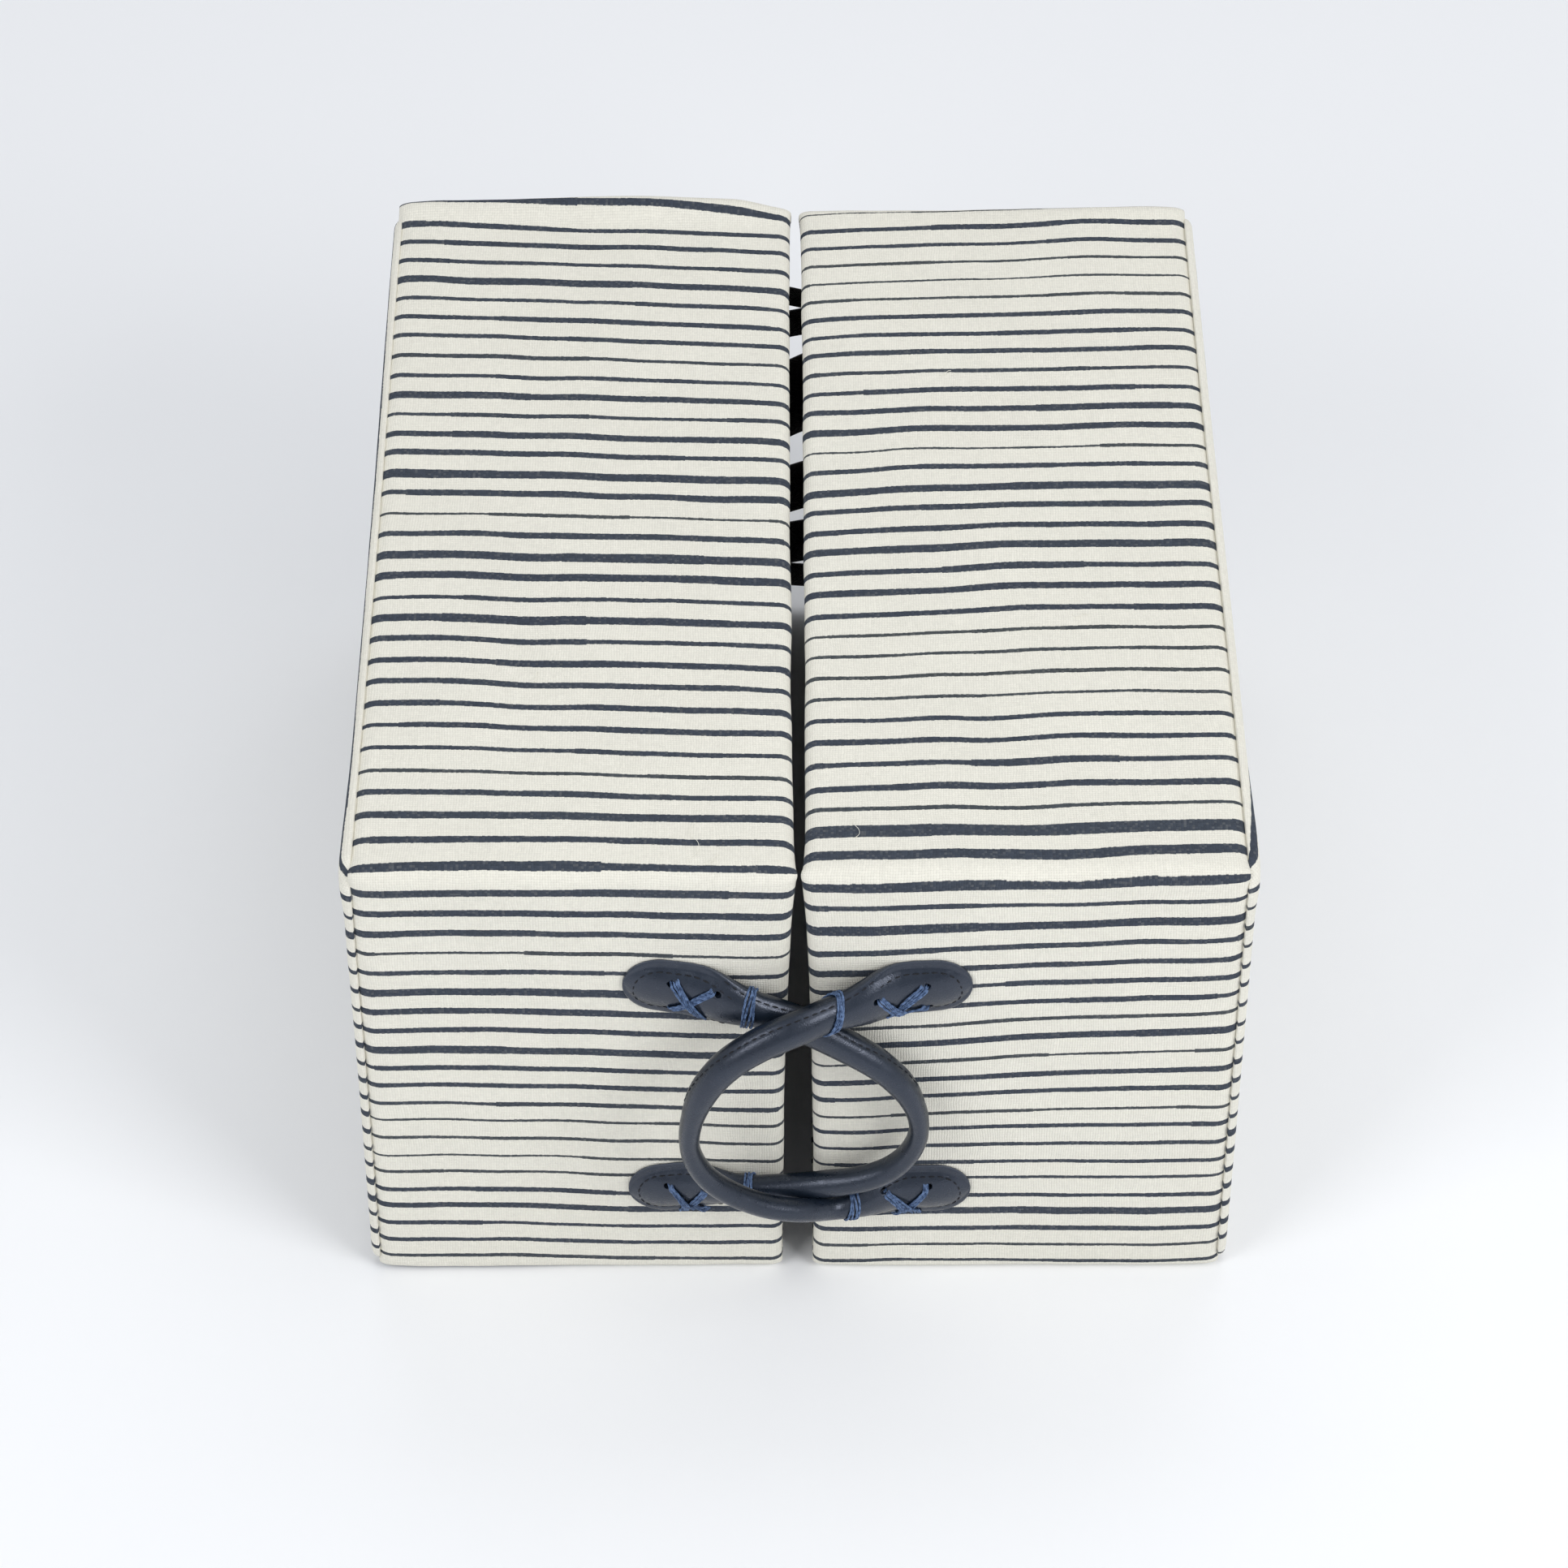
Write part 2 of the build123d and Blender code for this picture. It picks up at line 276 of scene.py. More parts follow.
def make_leather():
    """Full-grain cowhide, dyed navy right through and waxed: a fine pebble grain, a satin
    gloss that breaks up on it, paler worn edges, and a painted highlight along the seam's lip."""
    material, tree, shader = new_material("navy_leather")
    place = add(tree, "ShaderNodeTexCoord").outputs["Object"]
    patches = add(tree, "ShaderNodeTexNoise", {"Vector": place, "Scale": 70.0, "Detail": 5.0})
    tone = {"Factor": patches, "A": linear("#0A111B"), "B": linear("#19232F")}
    tone = add(tree, "ShaderNodeMix", tone, data_type="RGBA")
    # Paler at the tabs' worn edges, and a painted highlight along the seam's lip
    rub = add(tree, "ShaderNodeAttribute", attribute_name="rub").outputs["Fac"]
    tone = {"Factor": rub, "A": tone.outputs[MIXED], "B": linear("#5C6068")}
    tone = add(tree, "ShaderNodeMix", tone, data_type="RGBA")
    tree.links.new(tone.outputs[MIXED], shader.inputs["Base Color"])

    # Pebbles of about half a millimetre between fine creases
    pebble = add(tree, "ShaderNodeTexVoronoi", {"Vector": place, "Scale": 1900.0}, feature="SMOOTH_F1")
    crease = {"Vector": place, "Scale": 380.0, "Detail": 5.0, "Roughness": 0.6}
    crease = add(tree, "ShaderNodeTexNoise", crease)
    relief = add(tree, MATH, (crease, 0.9, pebble.outputs["Distance"]), operation="MULTIPLY_ADD")
    bump = add(tree, "ShaderNodeBump", {"Height": relief, "Strength": 0.3, "Distance": 0.0002})
    tree.links.new(bump.outputs[0], shader.inputs["Normal"])
    gloss = {"Value": crease, "From Min": 0.35, "From Max": 0.65, "To Min": 0.25, "To Max": 0.38}
    tree.links.new(add(tree, RANGE, gloss).outputs[0], shader.inputs["Roughness"])
    shader.inputs["IOR"].default_value = 1.7
    shader.inputs["Specular Tint"].default_value = linear("#DFE7FC")
    return material


def make_thread(name, dark, light, roughness):
    """Waxed polyester thread: tightly twisted, with a soft shine along each ply."""
    material, tree, shader = new_material(name)
    place = add(tree, "ShaderNodeTexCoord").outputs["Object"]
    fibre = add(tree, "ShaderNodeTexNoise", {"Vector": place, "Scale": 800.0, "Detail": 3.0})
    spread = add(tree, RANGE, {"Value": fibre, "From Min": 0.35, "From Max": 0.65})
    tone = {"Factor": spread, "A": linear(dark), "B": linear(light)}
    tone = add(tree, "ShaderNodeMix", tone, data_type="RGBA")
    tree.links.new(tone.outputs[MIXED], shader.inputs["Base Color"])
    bump = add(tree, "ShaderNodeBump", {"Height": fibre, "Strength": 0.3, "Distance": 0.0001})
    tree.links.new(bump.outputs[0], shader.inputs["Normal"])
    shader.inputs["Roughness"].default_value = roughness
    return material


RIB = 1.3  # from rib to rib of the webbing, in millimetres
CHEVRON = 8.0  # half the width of its herringbone, in millimetres
LINING_THREAD = 0.0008  # thread spacing of the lining cloth, in metres


def make_webbing():
    """Black polypropylene webbing in a tight herringbone: dull, with ribs of 1.3 mm that
    catch a little light."""
    material, tree, shader = new_material("black_webbing")
    place = add(tree, "ShaderNodeSeparateXYZ", (add(tree, "ShaderNodeUVMap", uv_map="threads"),))
    fold = add(tree, MATH, (place.outputs[1], CHEVRON), operation="PINGPONG")
    slant = add(tree, MATH, (place.outputs[0], fold), operation="ADD")
    turn = add(tree, MATH, (slant, 2 * math.pi / RIB), operation="MULTIPLY")
    rib = add(tree, MATH, (turn,), operation="SINE")
    object_place = add(tree, "ShaderNodeTexCoord").outputs["Object"]
    fine = add(tree, "ShaderNodeTexNoise", {"Vector": object_place, "Scale": 1400.0, "Detail": 2.0})
    relief = add(tree, MATH, (fine, 0.7, rib), operation="MULTIPLY_ADD")
    bump = add(tree, "ShaderNodeBump", {"Height": relief, "Strength": 0.6, "Distance": 0.0002})
    tree.links.new(bump.outputs[0], shader.inputs["Normal"])
    tone = {"Factor": fine, "A": linear("#131315"), "B": linear("#242427")}
    tone = add(tree, "ShaderNodeMix", tone, data_type="RGBA")
    tree.links.new(tone.outputs[MIXED], shader.inputs["Base Color"])
    shader.inputs["Roughness"].default_value = 0.75
    return material


def make_lining_cloth():
    """Near-black cloth glued to the boards, as dark as the deep shade inside the case: painted
    shade. Matt, in a faint plain weave, with a little grey in the nap."""
    material, tree, shader = new_material("dark_lining")
    place = add(tree, "ShaderNodeTexCoord").outputs["Object"]
    nap = add(tree, "ShaderNodeTexNoise", {"Vector": place, "Scale": 60.0, "Detail": 6.0})
    # Near black, darkened to the depth of the shade inside the case: painted shade
    tone = {"Factor": nap, "A": linear("#0A0C0D"), "B": linear("#131516")}
    tone = add(tree, "ShaderNodeMix", tone, data_type="RGBA")
    tree.links.new(tone.outputs[MIXED], shader.inputs["Base Color"])
    parts = add(tree, "ShaderNodeSeparateXYZ", (place,))
    relief = nap
    for axis in range(3):
        turn = add(tree, MATH, (parts.outputs[axis], math.pi / LINING_THREAD), operation="MULTIPLY")
        thread = add(tree, MATH, (turn,), operation="SINE")
        relief = add(tree, MATH, (relief, thread), operation="ADD")
    bump = add(tree, "ShaderNodeBump", {"Height": relief, "Strength": 0.4, "Distance": 0.0002})
    tree.links.new(bump.outputs[0], shader.inputs["Normal"])
    shader.inputs["Roughness"].default_value = 0.94
    return material


def make_fibrous(name, dark, light, scale, roughness=0.93):
    """Paper or cotton fibre, pressed or loose: matt, its tangle showing as fine mottling."""
    material, tree, shader = new_material(name)
    place = add(tree, "ShaderNodeTexCoord").outputs["Object"]
    tangle = {"Vector": place, "Scale": scale, "Detail": 5.0, "Distortion": 1.0}
    tangle = add(tree, "ShaderNodeTexNoise", tangle)
    tone = {"Factor": tangle, "A": linear(dark), "B": linear(light)}
    tone = add(tree, "ShaderNodeMix", tone, data_type="RGBA")
    tree.links.new(tone.outputs[MIXED], shader.inputs["Base Color"])
    bump = add(tree, "ShaderNodeBump", {"Height": tangle, "Strength": 0.4, "Distance": 0.0003})
    tree.links.new(bump.outputs[0], shader.inputs["Normal"])
    shader.inputs["Roughness"].default_value = roughness
    return material


def make_studio_paper():
    """Seamless matt studio paper, near white and slightly cool."""
    material, _, shader = new_material("studio_paper")
    shader.inputs["Base Color"].default_value = linear("#F7F8FA")
    shader.inputs["Roughness"].default_value = 0.95
    shader.inputs["Specular IOR Level"].default_value = 0.2
    return material


canvas = make_striped_canvas()
leather = make_leather()
waxed_thread = make_thread("waxed_thread", "#294063", "#6A84AD", 0.6)
seam_thread = make_thread("seam_thread", "#07090E", "#161B26", 0.8)
loose_fibre = make_thread("loose_fibre", "#E4E1D4", "#F3F1E8", 0.8)
webbing = make_webbing()
lining_cloth = make_lining_cloth()
greyboard = make_fibrous("greyboard", "#85827A", "#A19D93", 500.0)
wadding = make_fibrous("wadding", "#DAD9D5", "#F2F1EE", 300.0)
core_cotton = make_fibrous("core_cord", "#C9C3B4", "#E6E1D3", 700.0)
studio_paper = make_studio_paper()


# ---------------------------------------------------------------- meshes


def new_object(name, data):
    """An object with its data, in the scene."""
    made = bpy.data.objects.new(name, data)
    bpy.context.scene.collection.objects.link(made)
    return made


def apply_modifiers(made):
    """Turns a piece and its modifiers into a plain mesh."""
    evaluated = made.evaluated_get(bpy.context.evaluated_depsgraph_get())
    result = bpy.data.meshes.new_from_object(evaluated)
    made.modifiers.clear()
    made.data = result


def make_object(name, points, faces, material, maps=None, values=None):
    """A smooth mesh object from points in millimetres. Maps are UV maps and values are
    attributes, given for each point, or a map for each face corner."""
    mesh = bpy.data.meshes.new(name)
    mesh.from_pydata([tuple(p) for p in np.asarray(points) * MM], [], [tuple(f) for f in faces])
    mesh.polygons.foreach_set("use_smooth", [True] * len(mesh.polygons))
    corner_points = np.zeros(len(mesh.loops), int)
    mesh.loops.foreach_get("vertex_index", corner_points)
    for key, data in (maps or {}).items():
        layer = mesh.uv_layers.new(name=key)
        data = np.asarray(data, float)
        if len(data) != len(corner_points):
            data = data[corner_points]
        layer.data.foreach_set("uv", data.ravel())
    for key, data in (values or {}).items():
        layer = mesh.attributes.new(key, "FLOAT", "POINT")
        layer.data.foreach_set("value", np.asarray(data, np.float32))
    mesh.materials.append(material)
    made = new_object(name, mesh)
    face_outwards(made)
    return made


def face_outwards(made):
    """Turns the faces of closed shells outwards."""
    work = bmesh.new()
    work.from_mesh(made.data)
    bmesh.ops.recalc_face_normals(work, faces=work.faces)
    work.to_mesh(made.data)
    work.free()


def lattice_faces(rows, columns, wrap_rows=False, wrap_columns=False):
    """Quads over a lattice of points numbered row by row."""
    faces = []
    for r in range(rows if wrap_rows else rows - 1):
        below = (r + 1) % rows * columns
        for c in range(columns if wrap_columns else columns - 1):
            d = (c + 1) % columns
            faces.append((r * columns + c, r * columns + d, below + d, below + c))
    return faces


def lattice_edge(rows, columns):
    """Row and column of a lattice's outer points, in order round it."""
    edge = [(0, c) for c in range(columns)] + [(r, columns - 1) for r in range(1, rows)]
    edge += [(rows - 1, c) for c in range(columns - 2, -1, -1)]
    return edge + [(r, 0) for r in range(rows - 2, 0, -1)]


def wave(x, y, z, seed=0.0):
    """A smooth random value, mostly between -0.5 and 0.5."""
    return noise.noise(Vector((x + 17.3 * seed, y - 9.1 * seed, z + 4.7 * seed)))


def ease(value, low, high):
    """Rises smoothly from 0 at low to 1 at high."""
    t = min(1.0, max(0.0, (value - low) / (high - low)))
    return t * t * (3 - 2 * t)


def at(table, place, column):
    """A table's value at a place, read along its first column."""
    return float(np.interp(place, [row[0] for row in table], [row[column] for row in table]))


def lean(z):
    """How much further out a half stands at a height than at its top."""
    return LEAN * (1 - z / HEIGHT)


# ---------------------------------------------------------------- canvas

# Stripes are numbered from the front top edge: up to the rear, and minus down the front.
# These fix where some of them lie along the cloth, and how they slope across a half.
STRIPE_PLACES = {
    "left": [
        (-21, -213.0), (-9, -92.5), (-1, -6.7), (0, 3.4), (1, 16.6), (6, 70.6), (14, 159.6),
        (20, 227.6), (30, 339.5), (31, 349.5), (32, 360.5),
    ],
    "right": [
        (-21, -217.0), (-12, -126.5), (-8, -83.0), (-4, -43.2), (-1, -11.4), (0, -2.4),
        (1, 12.0), (2, 22.4), (10, 110.4), (15, 165.2), (20, 220.4), (28, 308.4), (33, 362.0),
    ],
}
STRIPE_SLOPE = {
    "left": [
        (-130, -0.035), (-50, -0.015), (0, -0.01), (40, -0.03), (140, -0.032), (220, -0.046),
        (350, -0.055),
    ],
    "right": [(-170, 0.0), (-130, 0.03), (-85, 0.077), (-35, 0.06), (-12, 0.035), (12, 0.036)],
}
STRIPE_REFERENCE = {"left": -110.0, "right": 120.0}

# Stripe thickness in millimetres, where it isn't the usual one
USUAL_STRIPE = 2.5
STRIPES = {
    "left": {
        -21: 2.0, -20: 2.6, -19: 2.3, -18: 3.4, -16: 1.8, -15: 1.5, -14: 1.7, -13: 1.6, -12: 2.1,
        -9: 4.0, -7: 3.1, -6: 4.0, -4: 1.8, -3: 3.4, -2: 3.7, -1: 3.6, 0: 3.0, 2: 3.3, 4: 1.8,
        9: 3.1, 11: 3.9, 13: 3.8, 14: 4.3, 16: 1.4, 17: 3.1, 18: 4.0, 20: 3.1, 22: 3.4, 24: 2.0,
        28: 3.8, 30: 2.9, 31: 2.4, 32: 3.0,
    },
    "right": {
        -21: 2.1, -20: 1.6, -19: 2.9, -18: 4.5, -17: 2.3, -16: 2.1, -15: 2.2, -14: 2.2, -13: 2.7,
        -12: 1.6, -9: 1.7, -8: 4.0, -7: 1.8, -6: 3.0, -4: 3.1, -3: 3.0, -2: 4.2, -1: 2.5, 0: 3.6,
        1: 3.8, 2: 5.6, 3: 1.6, 8: 1.5, 9: 1.6, 10: 1.5, 11: 1.6, 12: 3.0, 13: 3.2, 15: 3.9,
        17: 3.1, 18: 3.8, 20: 1.3, 21: 3.1, 22: 3.4, 28: 1.7, 29: 1.4, 30: 1.4, 31: 2.3, 32: 2.9,
        33: 1.0,
    },
}


def stripe_width(half, number):
    """Thickness of a numbered stripe."""
    usual = USUAL_STRIPE + 0.6 * wave(number * 0.77, 0.4, 0.0, 1 + SIDES[half])
    return STRIPES[half].get(number, usual)


def stripe_phase(half, x, travel):
    """Stripe number, in whole and part stripes, at a place on the belt."""
    away = x - STRIPE_REFERENCE[half]
    slope = at(STRIPE_SLOPE[half], travel, 1) * (0.4 if away * SIDES[half] > 0 else 1.0)
    level = travel - slope * away
    if half == "left":
        level += 0.6 * ease(-x, 126, 150) * math.exp(-((travel / 12) ** 2))
    numbers, places = zip(*STRIPE_PLACES[half])
    if level < places[0]:
        return numbers[0] + (level - places[0]) / PITCH
    if level > places[-1]:
        return numbers[-1] + (level - places[-1]) / PITCH
    return float(np.interp(level, places, numbers))


def belt_loop(step):
    """Points round the four walls: y, z, outward y, outward z, and travel along the cloth
    from the front top edge, up and over to the rear, with minus down the front."""
    r = BELT_RADIUS
    quarter = math.pi * r / 2
    corners = [
        (FRONT + r, r, 225),
        (FRONT + r, HEIGHT - r, 135),
        (REAR - r, HEIGHT - r, 45),
        (REAR - r, r, -45),
    ]
    walls = [
        ((MIDDLE, 0), (FRONT + r, 0), (0, -1)),
        ((FRONT, r), (FRONT, HEIGHT - r), (-1, 0)),
        ((FRONT + r, HEIGHT), (REAR - r, HEIGHT), (0, 1)),
        ((REAR, HEIGHT - r), (REAR, r), (1, 0)),
        ((REAR - r, 0), (MIDDLE, 0), (0, -1)),
    ]
    loop = []
    travel = -(quarter * 1.5 + (HEIGHT - 2 * r) + (MIDDLE - FRONT - r))
    for number, (start, end, (ny, nz)) in enumerate(walls):
        length = math.dist(start, end)
        count = max(2, round(length / step))
        for i in range(count):
            t = i / count
            y, z = (a + (b - a) * t for a, b in zip(start, end))
            loop.append((y, z, ny, nz, travel + length * t))
        travel += length
        if number < 4:
            cy, cz, middle = corners[number]
            cells = max(3, round(quarter / min(step, 1.0)))
            for i in range(cells):
                angle = math.radians(middle + 45 - 90 * i / cells)
                ny, nz = math.cos(angle), math.sin(angle)
                loop.append((cy + r * ny, cz + r * nz, ny, nz, travel + quarter * i / cells))
            travel += quarter
    return np.array(loop), travel


def belt_profile():
    """Across the belt, from the outer crease over the rim and inside: distance from the
    mouth, depth below the surface, and length of cloth from the mouth."""
    rows = [(BELT_WIDTH + 0.7, SHOULDER_DEPTH + 0.8), (BELT_WIDTH + 0.35, SHOULDER_DEPTH + 0.3)]
    for i in range(9):
        a = math.radians(90 * i / 8)
        inwards = SHOULDER_RUN * (1 - math.cos(a))
        rows.append((BELT_WIDTH + 0.1 - inwards, SHOULDER_DEPTH * (1 - math.sin(a)) + 0.02))
    rows += [(x, 0.0) for x in np.linspace(BELT_WIDTH - 9, 13, 46)] + [(10.0, 0.0), (8.2, 0.0)]
    for i in range(1, 13):
        a = math.radians(90 * i / 12)
        rows.append((RIM_RUN * (1 - math.sin(a)), 0.02 + RIM_DEPTH * (1 - math.cos(a))))
    for i in range(1, 4):
        a = math.radians(30 * i)
        rows.append((0.9 * (1 - math.cos(a)), RIM_DEPTH + (WALL - RIM_DEPTH) * math.sin(a)))
    rows += [(x, WALL) for x in (2.4, 4.5, 7.0, 9.5, 12.0, TURN_IN)]
    under = WALL - CANVAS
    rows += [(TURN_IN + 0.1, under), (9.0, under), (4.0, under), (1.9, under)]
    rows += [(CANVAS + 0.3, 3.6), (1.4, 2.5), (3.2, 1.4), (7.4, 0.7)]
    rows += [(x, CANVAS + 0.1) for x in np.linspace(20, BELT_WIDTH - 8, 7)]
    rows += [(BELT_WIDTH - 3.0, 1.6), (BELT_WIDTH - 1.0, 3.1), (BELT_WIDTH, SHOULDER_DEPTH + 0.5)]
    cloth = [0.0]
    for (x0, d0), (x1, d1) in zip(rows, rows[1:]):
        cloth.append(cloth[-1] + math.hypot(x1 - x0, d1 - d0))
    return rows, [BELT_WIDTH - c for c in cloth]


# Travel at the belt's four edges. Round each corner the cloth is 2.6 mm shorter than its edges
CORNER_TRAVEL = [0.0, REAR - FRONT - 2.6, -(HEIGHT - 2.6), REAR - FRONT + HEIGHT - 7.7]


def near_corner(travel, reach):
    """Near 1 at the belt's four edges, falling to 0 over a reach along the cloth."""
    return max(math.exp(-(((travel - corner) / reach) ** 2)) for corner in CORNER_TRAVEL)


def mouth_line(y, z, ny, nz, travel):
    """Where the mouth's edge stands, from the middle of the case. The cloth pulls it back
    between the corners and draws the corners forward into small ears."""
    base = MOUTH + lean(z)
    if abs(ny) > abs(nz):
        bow = 1.15 * math.sin(math.pi * min(1.0, max(0.0, z / HEIGHT))) ** 0.8
        base += bow * (1 - 0.8 * math.exp((z - HEIGHT) / 60))
    elif nz > 0:
        base += 0.45 * math.sin(math.pi * (y - FRONT) / (REAR - FRONT))
    base -= 1.45 * math.exp(-abs(travel) / (9.0 if travel > 0 else 22.0))
    base -= 0.8 * math.exp(-abs(travel - (REAR - FRONT)) / 9.0)
    return base


def splay(half, y, z):
    """How far a half's outer crease stands out beyond its straight line."""
    if half == "right":
        return 0.8 * (1 - ease(y, -100, 100))
    return 2.6 * ease(y, -100, REAR) + 0.8 * ease(z, 110, 200) * (1 - ease(y, -100, 50))


def rear_lip(half, share, y, z):
    """The soft roll of cloth along the rear top edge: how far out, and how far up."""
    near = ease(z, 188, 219) * ease(y, REAR - 16, REAR - 2)
    if half == "right":
        return 0.3 * near, 1.6 * near * ease(share, 0.4, 0.95)
    crest = 1.0 + 2.6 * math.exp(-(((share - 0.42) / 0.28) ** 2))
    return 5.0 * near * ease(share, 0.0, 0.15), near * crest


def belt_softness(run, travel, seed):
    """How far the wadding lifts the cloth, at a distance from the mouth."""
    flat = ease(run, 0, 26) * ease(BELT_WIDTH - run, 0, 18)
    soft = 0.3 * flat + 0.55 * flat * wave(run / 58, travel / 66, 0, seed)
    soft += 0.16 * wave(run / 16, travel / 19, 0, seed + 2)
    ripple = 0.32 * wave(travel / 12, 3, run / 40, seed) + 0.16 * wave(travel / 4, 8, 0, seed)
    soft += (1 - ease(run, 3, 30)) * ripple
    soft += (1 - ease(BELT_WIDTH - run, 2, 14)) * 0.3 * wave(travel / 9, 13, run / 30, seed)
    return soft


def belt_point(half, seed, run, depth, station):
    """A point of the belt at a distance from the mouth, a depth below the surface and a
    station round the walls. Also gives its distance from the middle of the case and how
    near it is to one of the belt's edges."""
    y, z, ny, nz, travel = station
    inside = depth > RIM_DEPTH + 0.1
    ear = near_corner(travel, 3.2)
    soft = belt_softness(run, travel, seed) * (0.2 if inside else 1.0)
    lift = soft - (depth if inside else depth * (1 - 0.5 * ear))
    height = z + nz * lift
    if nz < -0.2:
        height = max(height, 0.02)
    ragged = (1 - ease(run, 6, 40)) * 0.5 * wave(travel / 29, 1.7, 0, seed + 4)
    back = 1 - ease(run, 4, 46)
    base = MOUTH + lean(z)
    x = base + (mouth_line(y, z, ny, nz, travel) - base) * back + run + ragged
    share = run / BELT_WIDTH
    out, up = (0.0, 0.0) if inside else rear_lip(half, share, y, z)
    point = (SIDES[half] * (x + splay(half, y, z) * share), y + ny * lift + out, height + up)
    return point, x, ear


def make_belt(half):
    """The wadded striped belt round a half's four walls, turned in over the mouth."""
    side = SIDES[half]
    seed = 5 + side
    loop, loop_end = belt_loop(2.4)
    rows, cloth = belt_profile()
    points, pattern, threads, widths = [], [], [], []
    for (run, depth), u in zip(rows, cloth):
        for station in loop:
            travel = station[4]
            point, x, ear = belt_point(half, seed, run, depth, station)
            points.append(point)
            pull = 0.13 * wave(x / 75, travel / 150, 2, seed) + 0.1 * wave(x / 30, travel / 60, 6, seed)
            phase = stripe_phase(half, side * (MOUTH + u), travel) + pull * (1 - 0.6 * ear)
            pattern.append((side * u + 40 * seed, phase))
            threads.append((u, travel))
            widths.append(stripe_width(half, round(phase)))
    count = len(loop)
    faces = lattice_faces(len(rows), count, wrap_rows=True, wrap_columns=True)
    # Both maps have their seam under the base, where corners carry the count on
    round_trip = loop_end - loop[0][4]
    corner_pattern, corner_threads = [], []
    for face in faces:
        at_seam = face[0] % count == count - 1
        for p in face:
            over = 1.0 if at_seam and p % count == 0 else 0.0
            corner_pattern.append((pattern[p][0], pattern[p][1] + over * round_trip / PITCH))
            corner_threads.append((threads[p][0], threads[p][1] + over * round_trip))
    made = make_object(
        f"{half}_belt_canvas", points, faces, canvas,
        maps={"pattern": corner_pattern, "threads": corner_threads},
        values={"stripe_width": widths},
    )
    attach(made, f"{half}_half")
    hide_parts(f"{half}_wall_cover", f"{half}_wall_wadding")


def panel_outline(inset):
    """Points round a side panel's rounded outline, set in from its edge."""
    corner = PANEL_CORNER - inset
    outline = []
    for cy, cz, middle in (
        (REAR - PANEL_CORNER, HEIGHT - PANEL_CORNER, 45),
        (FRONT + PANEL_CORNER, HEIGHT - PANEL_CORNER, 135),
        (FRONT + PANEL_CORNER, PANEL_CORNER, 225),
        (REAR - PANEL_CORNER, PANEL_CORNER, 315),
    ):
        for i in range(7):
            angle = math.radians(middle - 45 + 15 * i)
            outline.append((cy + corner * math.cos(angle), cz + corner * math.sin(angle)))
    return outline


def make_boards(half):
    """The greyboard inside a half: four walls in one ring, and the side panel's sheet, each
    with softened edges under the wadding."""
    side = SIDES[half]
    loop, _ = belt_loop(9.0)
    start, end = 3.6, BELT_WIDTH - 4.6
    rows = [(start, 3.6), (start + 0.8, 2.5), (start + 3, 2.1)]
    rows += [(x, 2.1) for x in np.linspace(20, end - 20, 6)]
    rows += [(end - 3, 2.1), (end - 0.8, 2.6), (end, 3.6), (end, 4.35), (start, 4.35)]
    points = []
    for run, depth in rows:
        for y, z, ny, nz, _ in loop:
            base = MOUTH + lean(z)
            points.append((side * (base + run), y - ny * depth, z - nz * depth))
    faces = lattice_faces(len(rows), len(loop), wrap_rows=True, wrap_columns=True)
    ring = panel_outline(3.4)
    base = len(points)
    for out in (0.15, 2.2):
        points += [(side * (BELT_END + lean(z) + out), y, z) for y, z in ring]
    count = len(ring)
    for i in range(count):
        j = (i + 1) % count
        faces.append((base + i, base + j, base + count + j, base + count + i))
    faces += [tuple(range(base, base + count)), tuple(range(base + count, base + 2 * count))]
    made = make_object(f"{half}_boards", points, faces, greyboard)
    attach(made, f"{half}_half")
    walls = [f"{half}_{wall}_board" for wall in ("side", "top", "bottom", "front", "rear")]
    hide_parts(*walls)


def rounded_place(a, b, long_half, tall_half, corner):
    """A place on a square grid, -1 to 1 each way, moved onto a rounded rectangle."""
    y, z = a * long_half, b * tall_half
    dy, dz = abs(y) - (long_half - corner), abs(z) - (tall_half - corner)
    if dy > 0 and dz > 0:
        s, t = dy / corner, dz / corner
        y = math.copysign(long_half - corner + dy * math.sqrt(1 - t * t / 2), y)
        z = math.copysign(tall_half - corner + dz * math.sqrt(1 - s * s / 2), z)
    return y, z


def grid_line(count, half_length, corner, cells):
    """Places from -1 to 1, closer together over the rounded corners."""
    straight = np.linspace(corner - half_length, half_length - corner, count)
    arc = np.linspace(0, corner, cells + 1)[1:]
    places = np.concatenate([corner - half_length - arc[::-1], straight, half_length - corner + arc])
    return places / half_length


# On each side panel: stripe spacing, the count of stripes at the base, and how far the
# stripes droop along the top edge, in stripes
PANEL_STRIPES = {"left": (9.9, 98.52, 0.0), "right": (10.4, 100.13, 1.0)}
COUNT_APART = 90  # a panel's stripe is as thick as the belt's stripe with a number this much lower
EDGE_OUT, EDGE_RUN = 0.5, 4.2  # how far a panel's edge bulges past the belt, its rounding
LONG_HALF, TALL_HALF = (REAR - FRONT) / 2, HEIGHT / 2
CORNER_EASE = 1.5  # how much tighter the face's corners are than the panel's


def panel_phase(half, y, z, rise):
    """Stripe number, in whole and part stripes, at a place on a side panel."""
    pitch, start, droop = PANEL_STRIPES[half]
    phase = rise / pitch + 0.09 * wave(y / 110, z / 200, 3, 11 + SIDES[half]) + start
    return phase + droop * (0.2 + 0.6 * ease(y, FRONT - 15, FRONT + 95)) * ease(z, 205, HEIGHT)


def plump(y, z):
    """How much further a side panel stands out at its front top corner."""
    return 1.1 * ease(z, HEIGHT - 26, HEIGHT - 4) * (1 - ease(y, FRONT + 6, FRONT + 70))


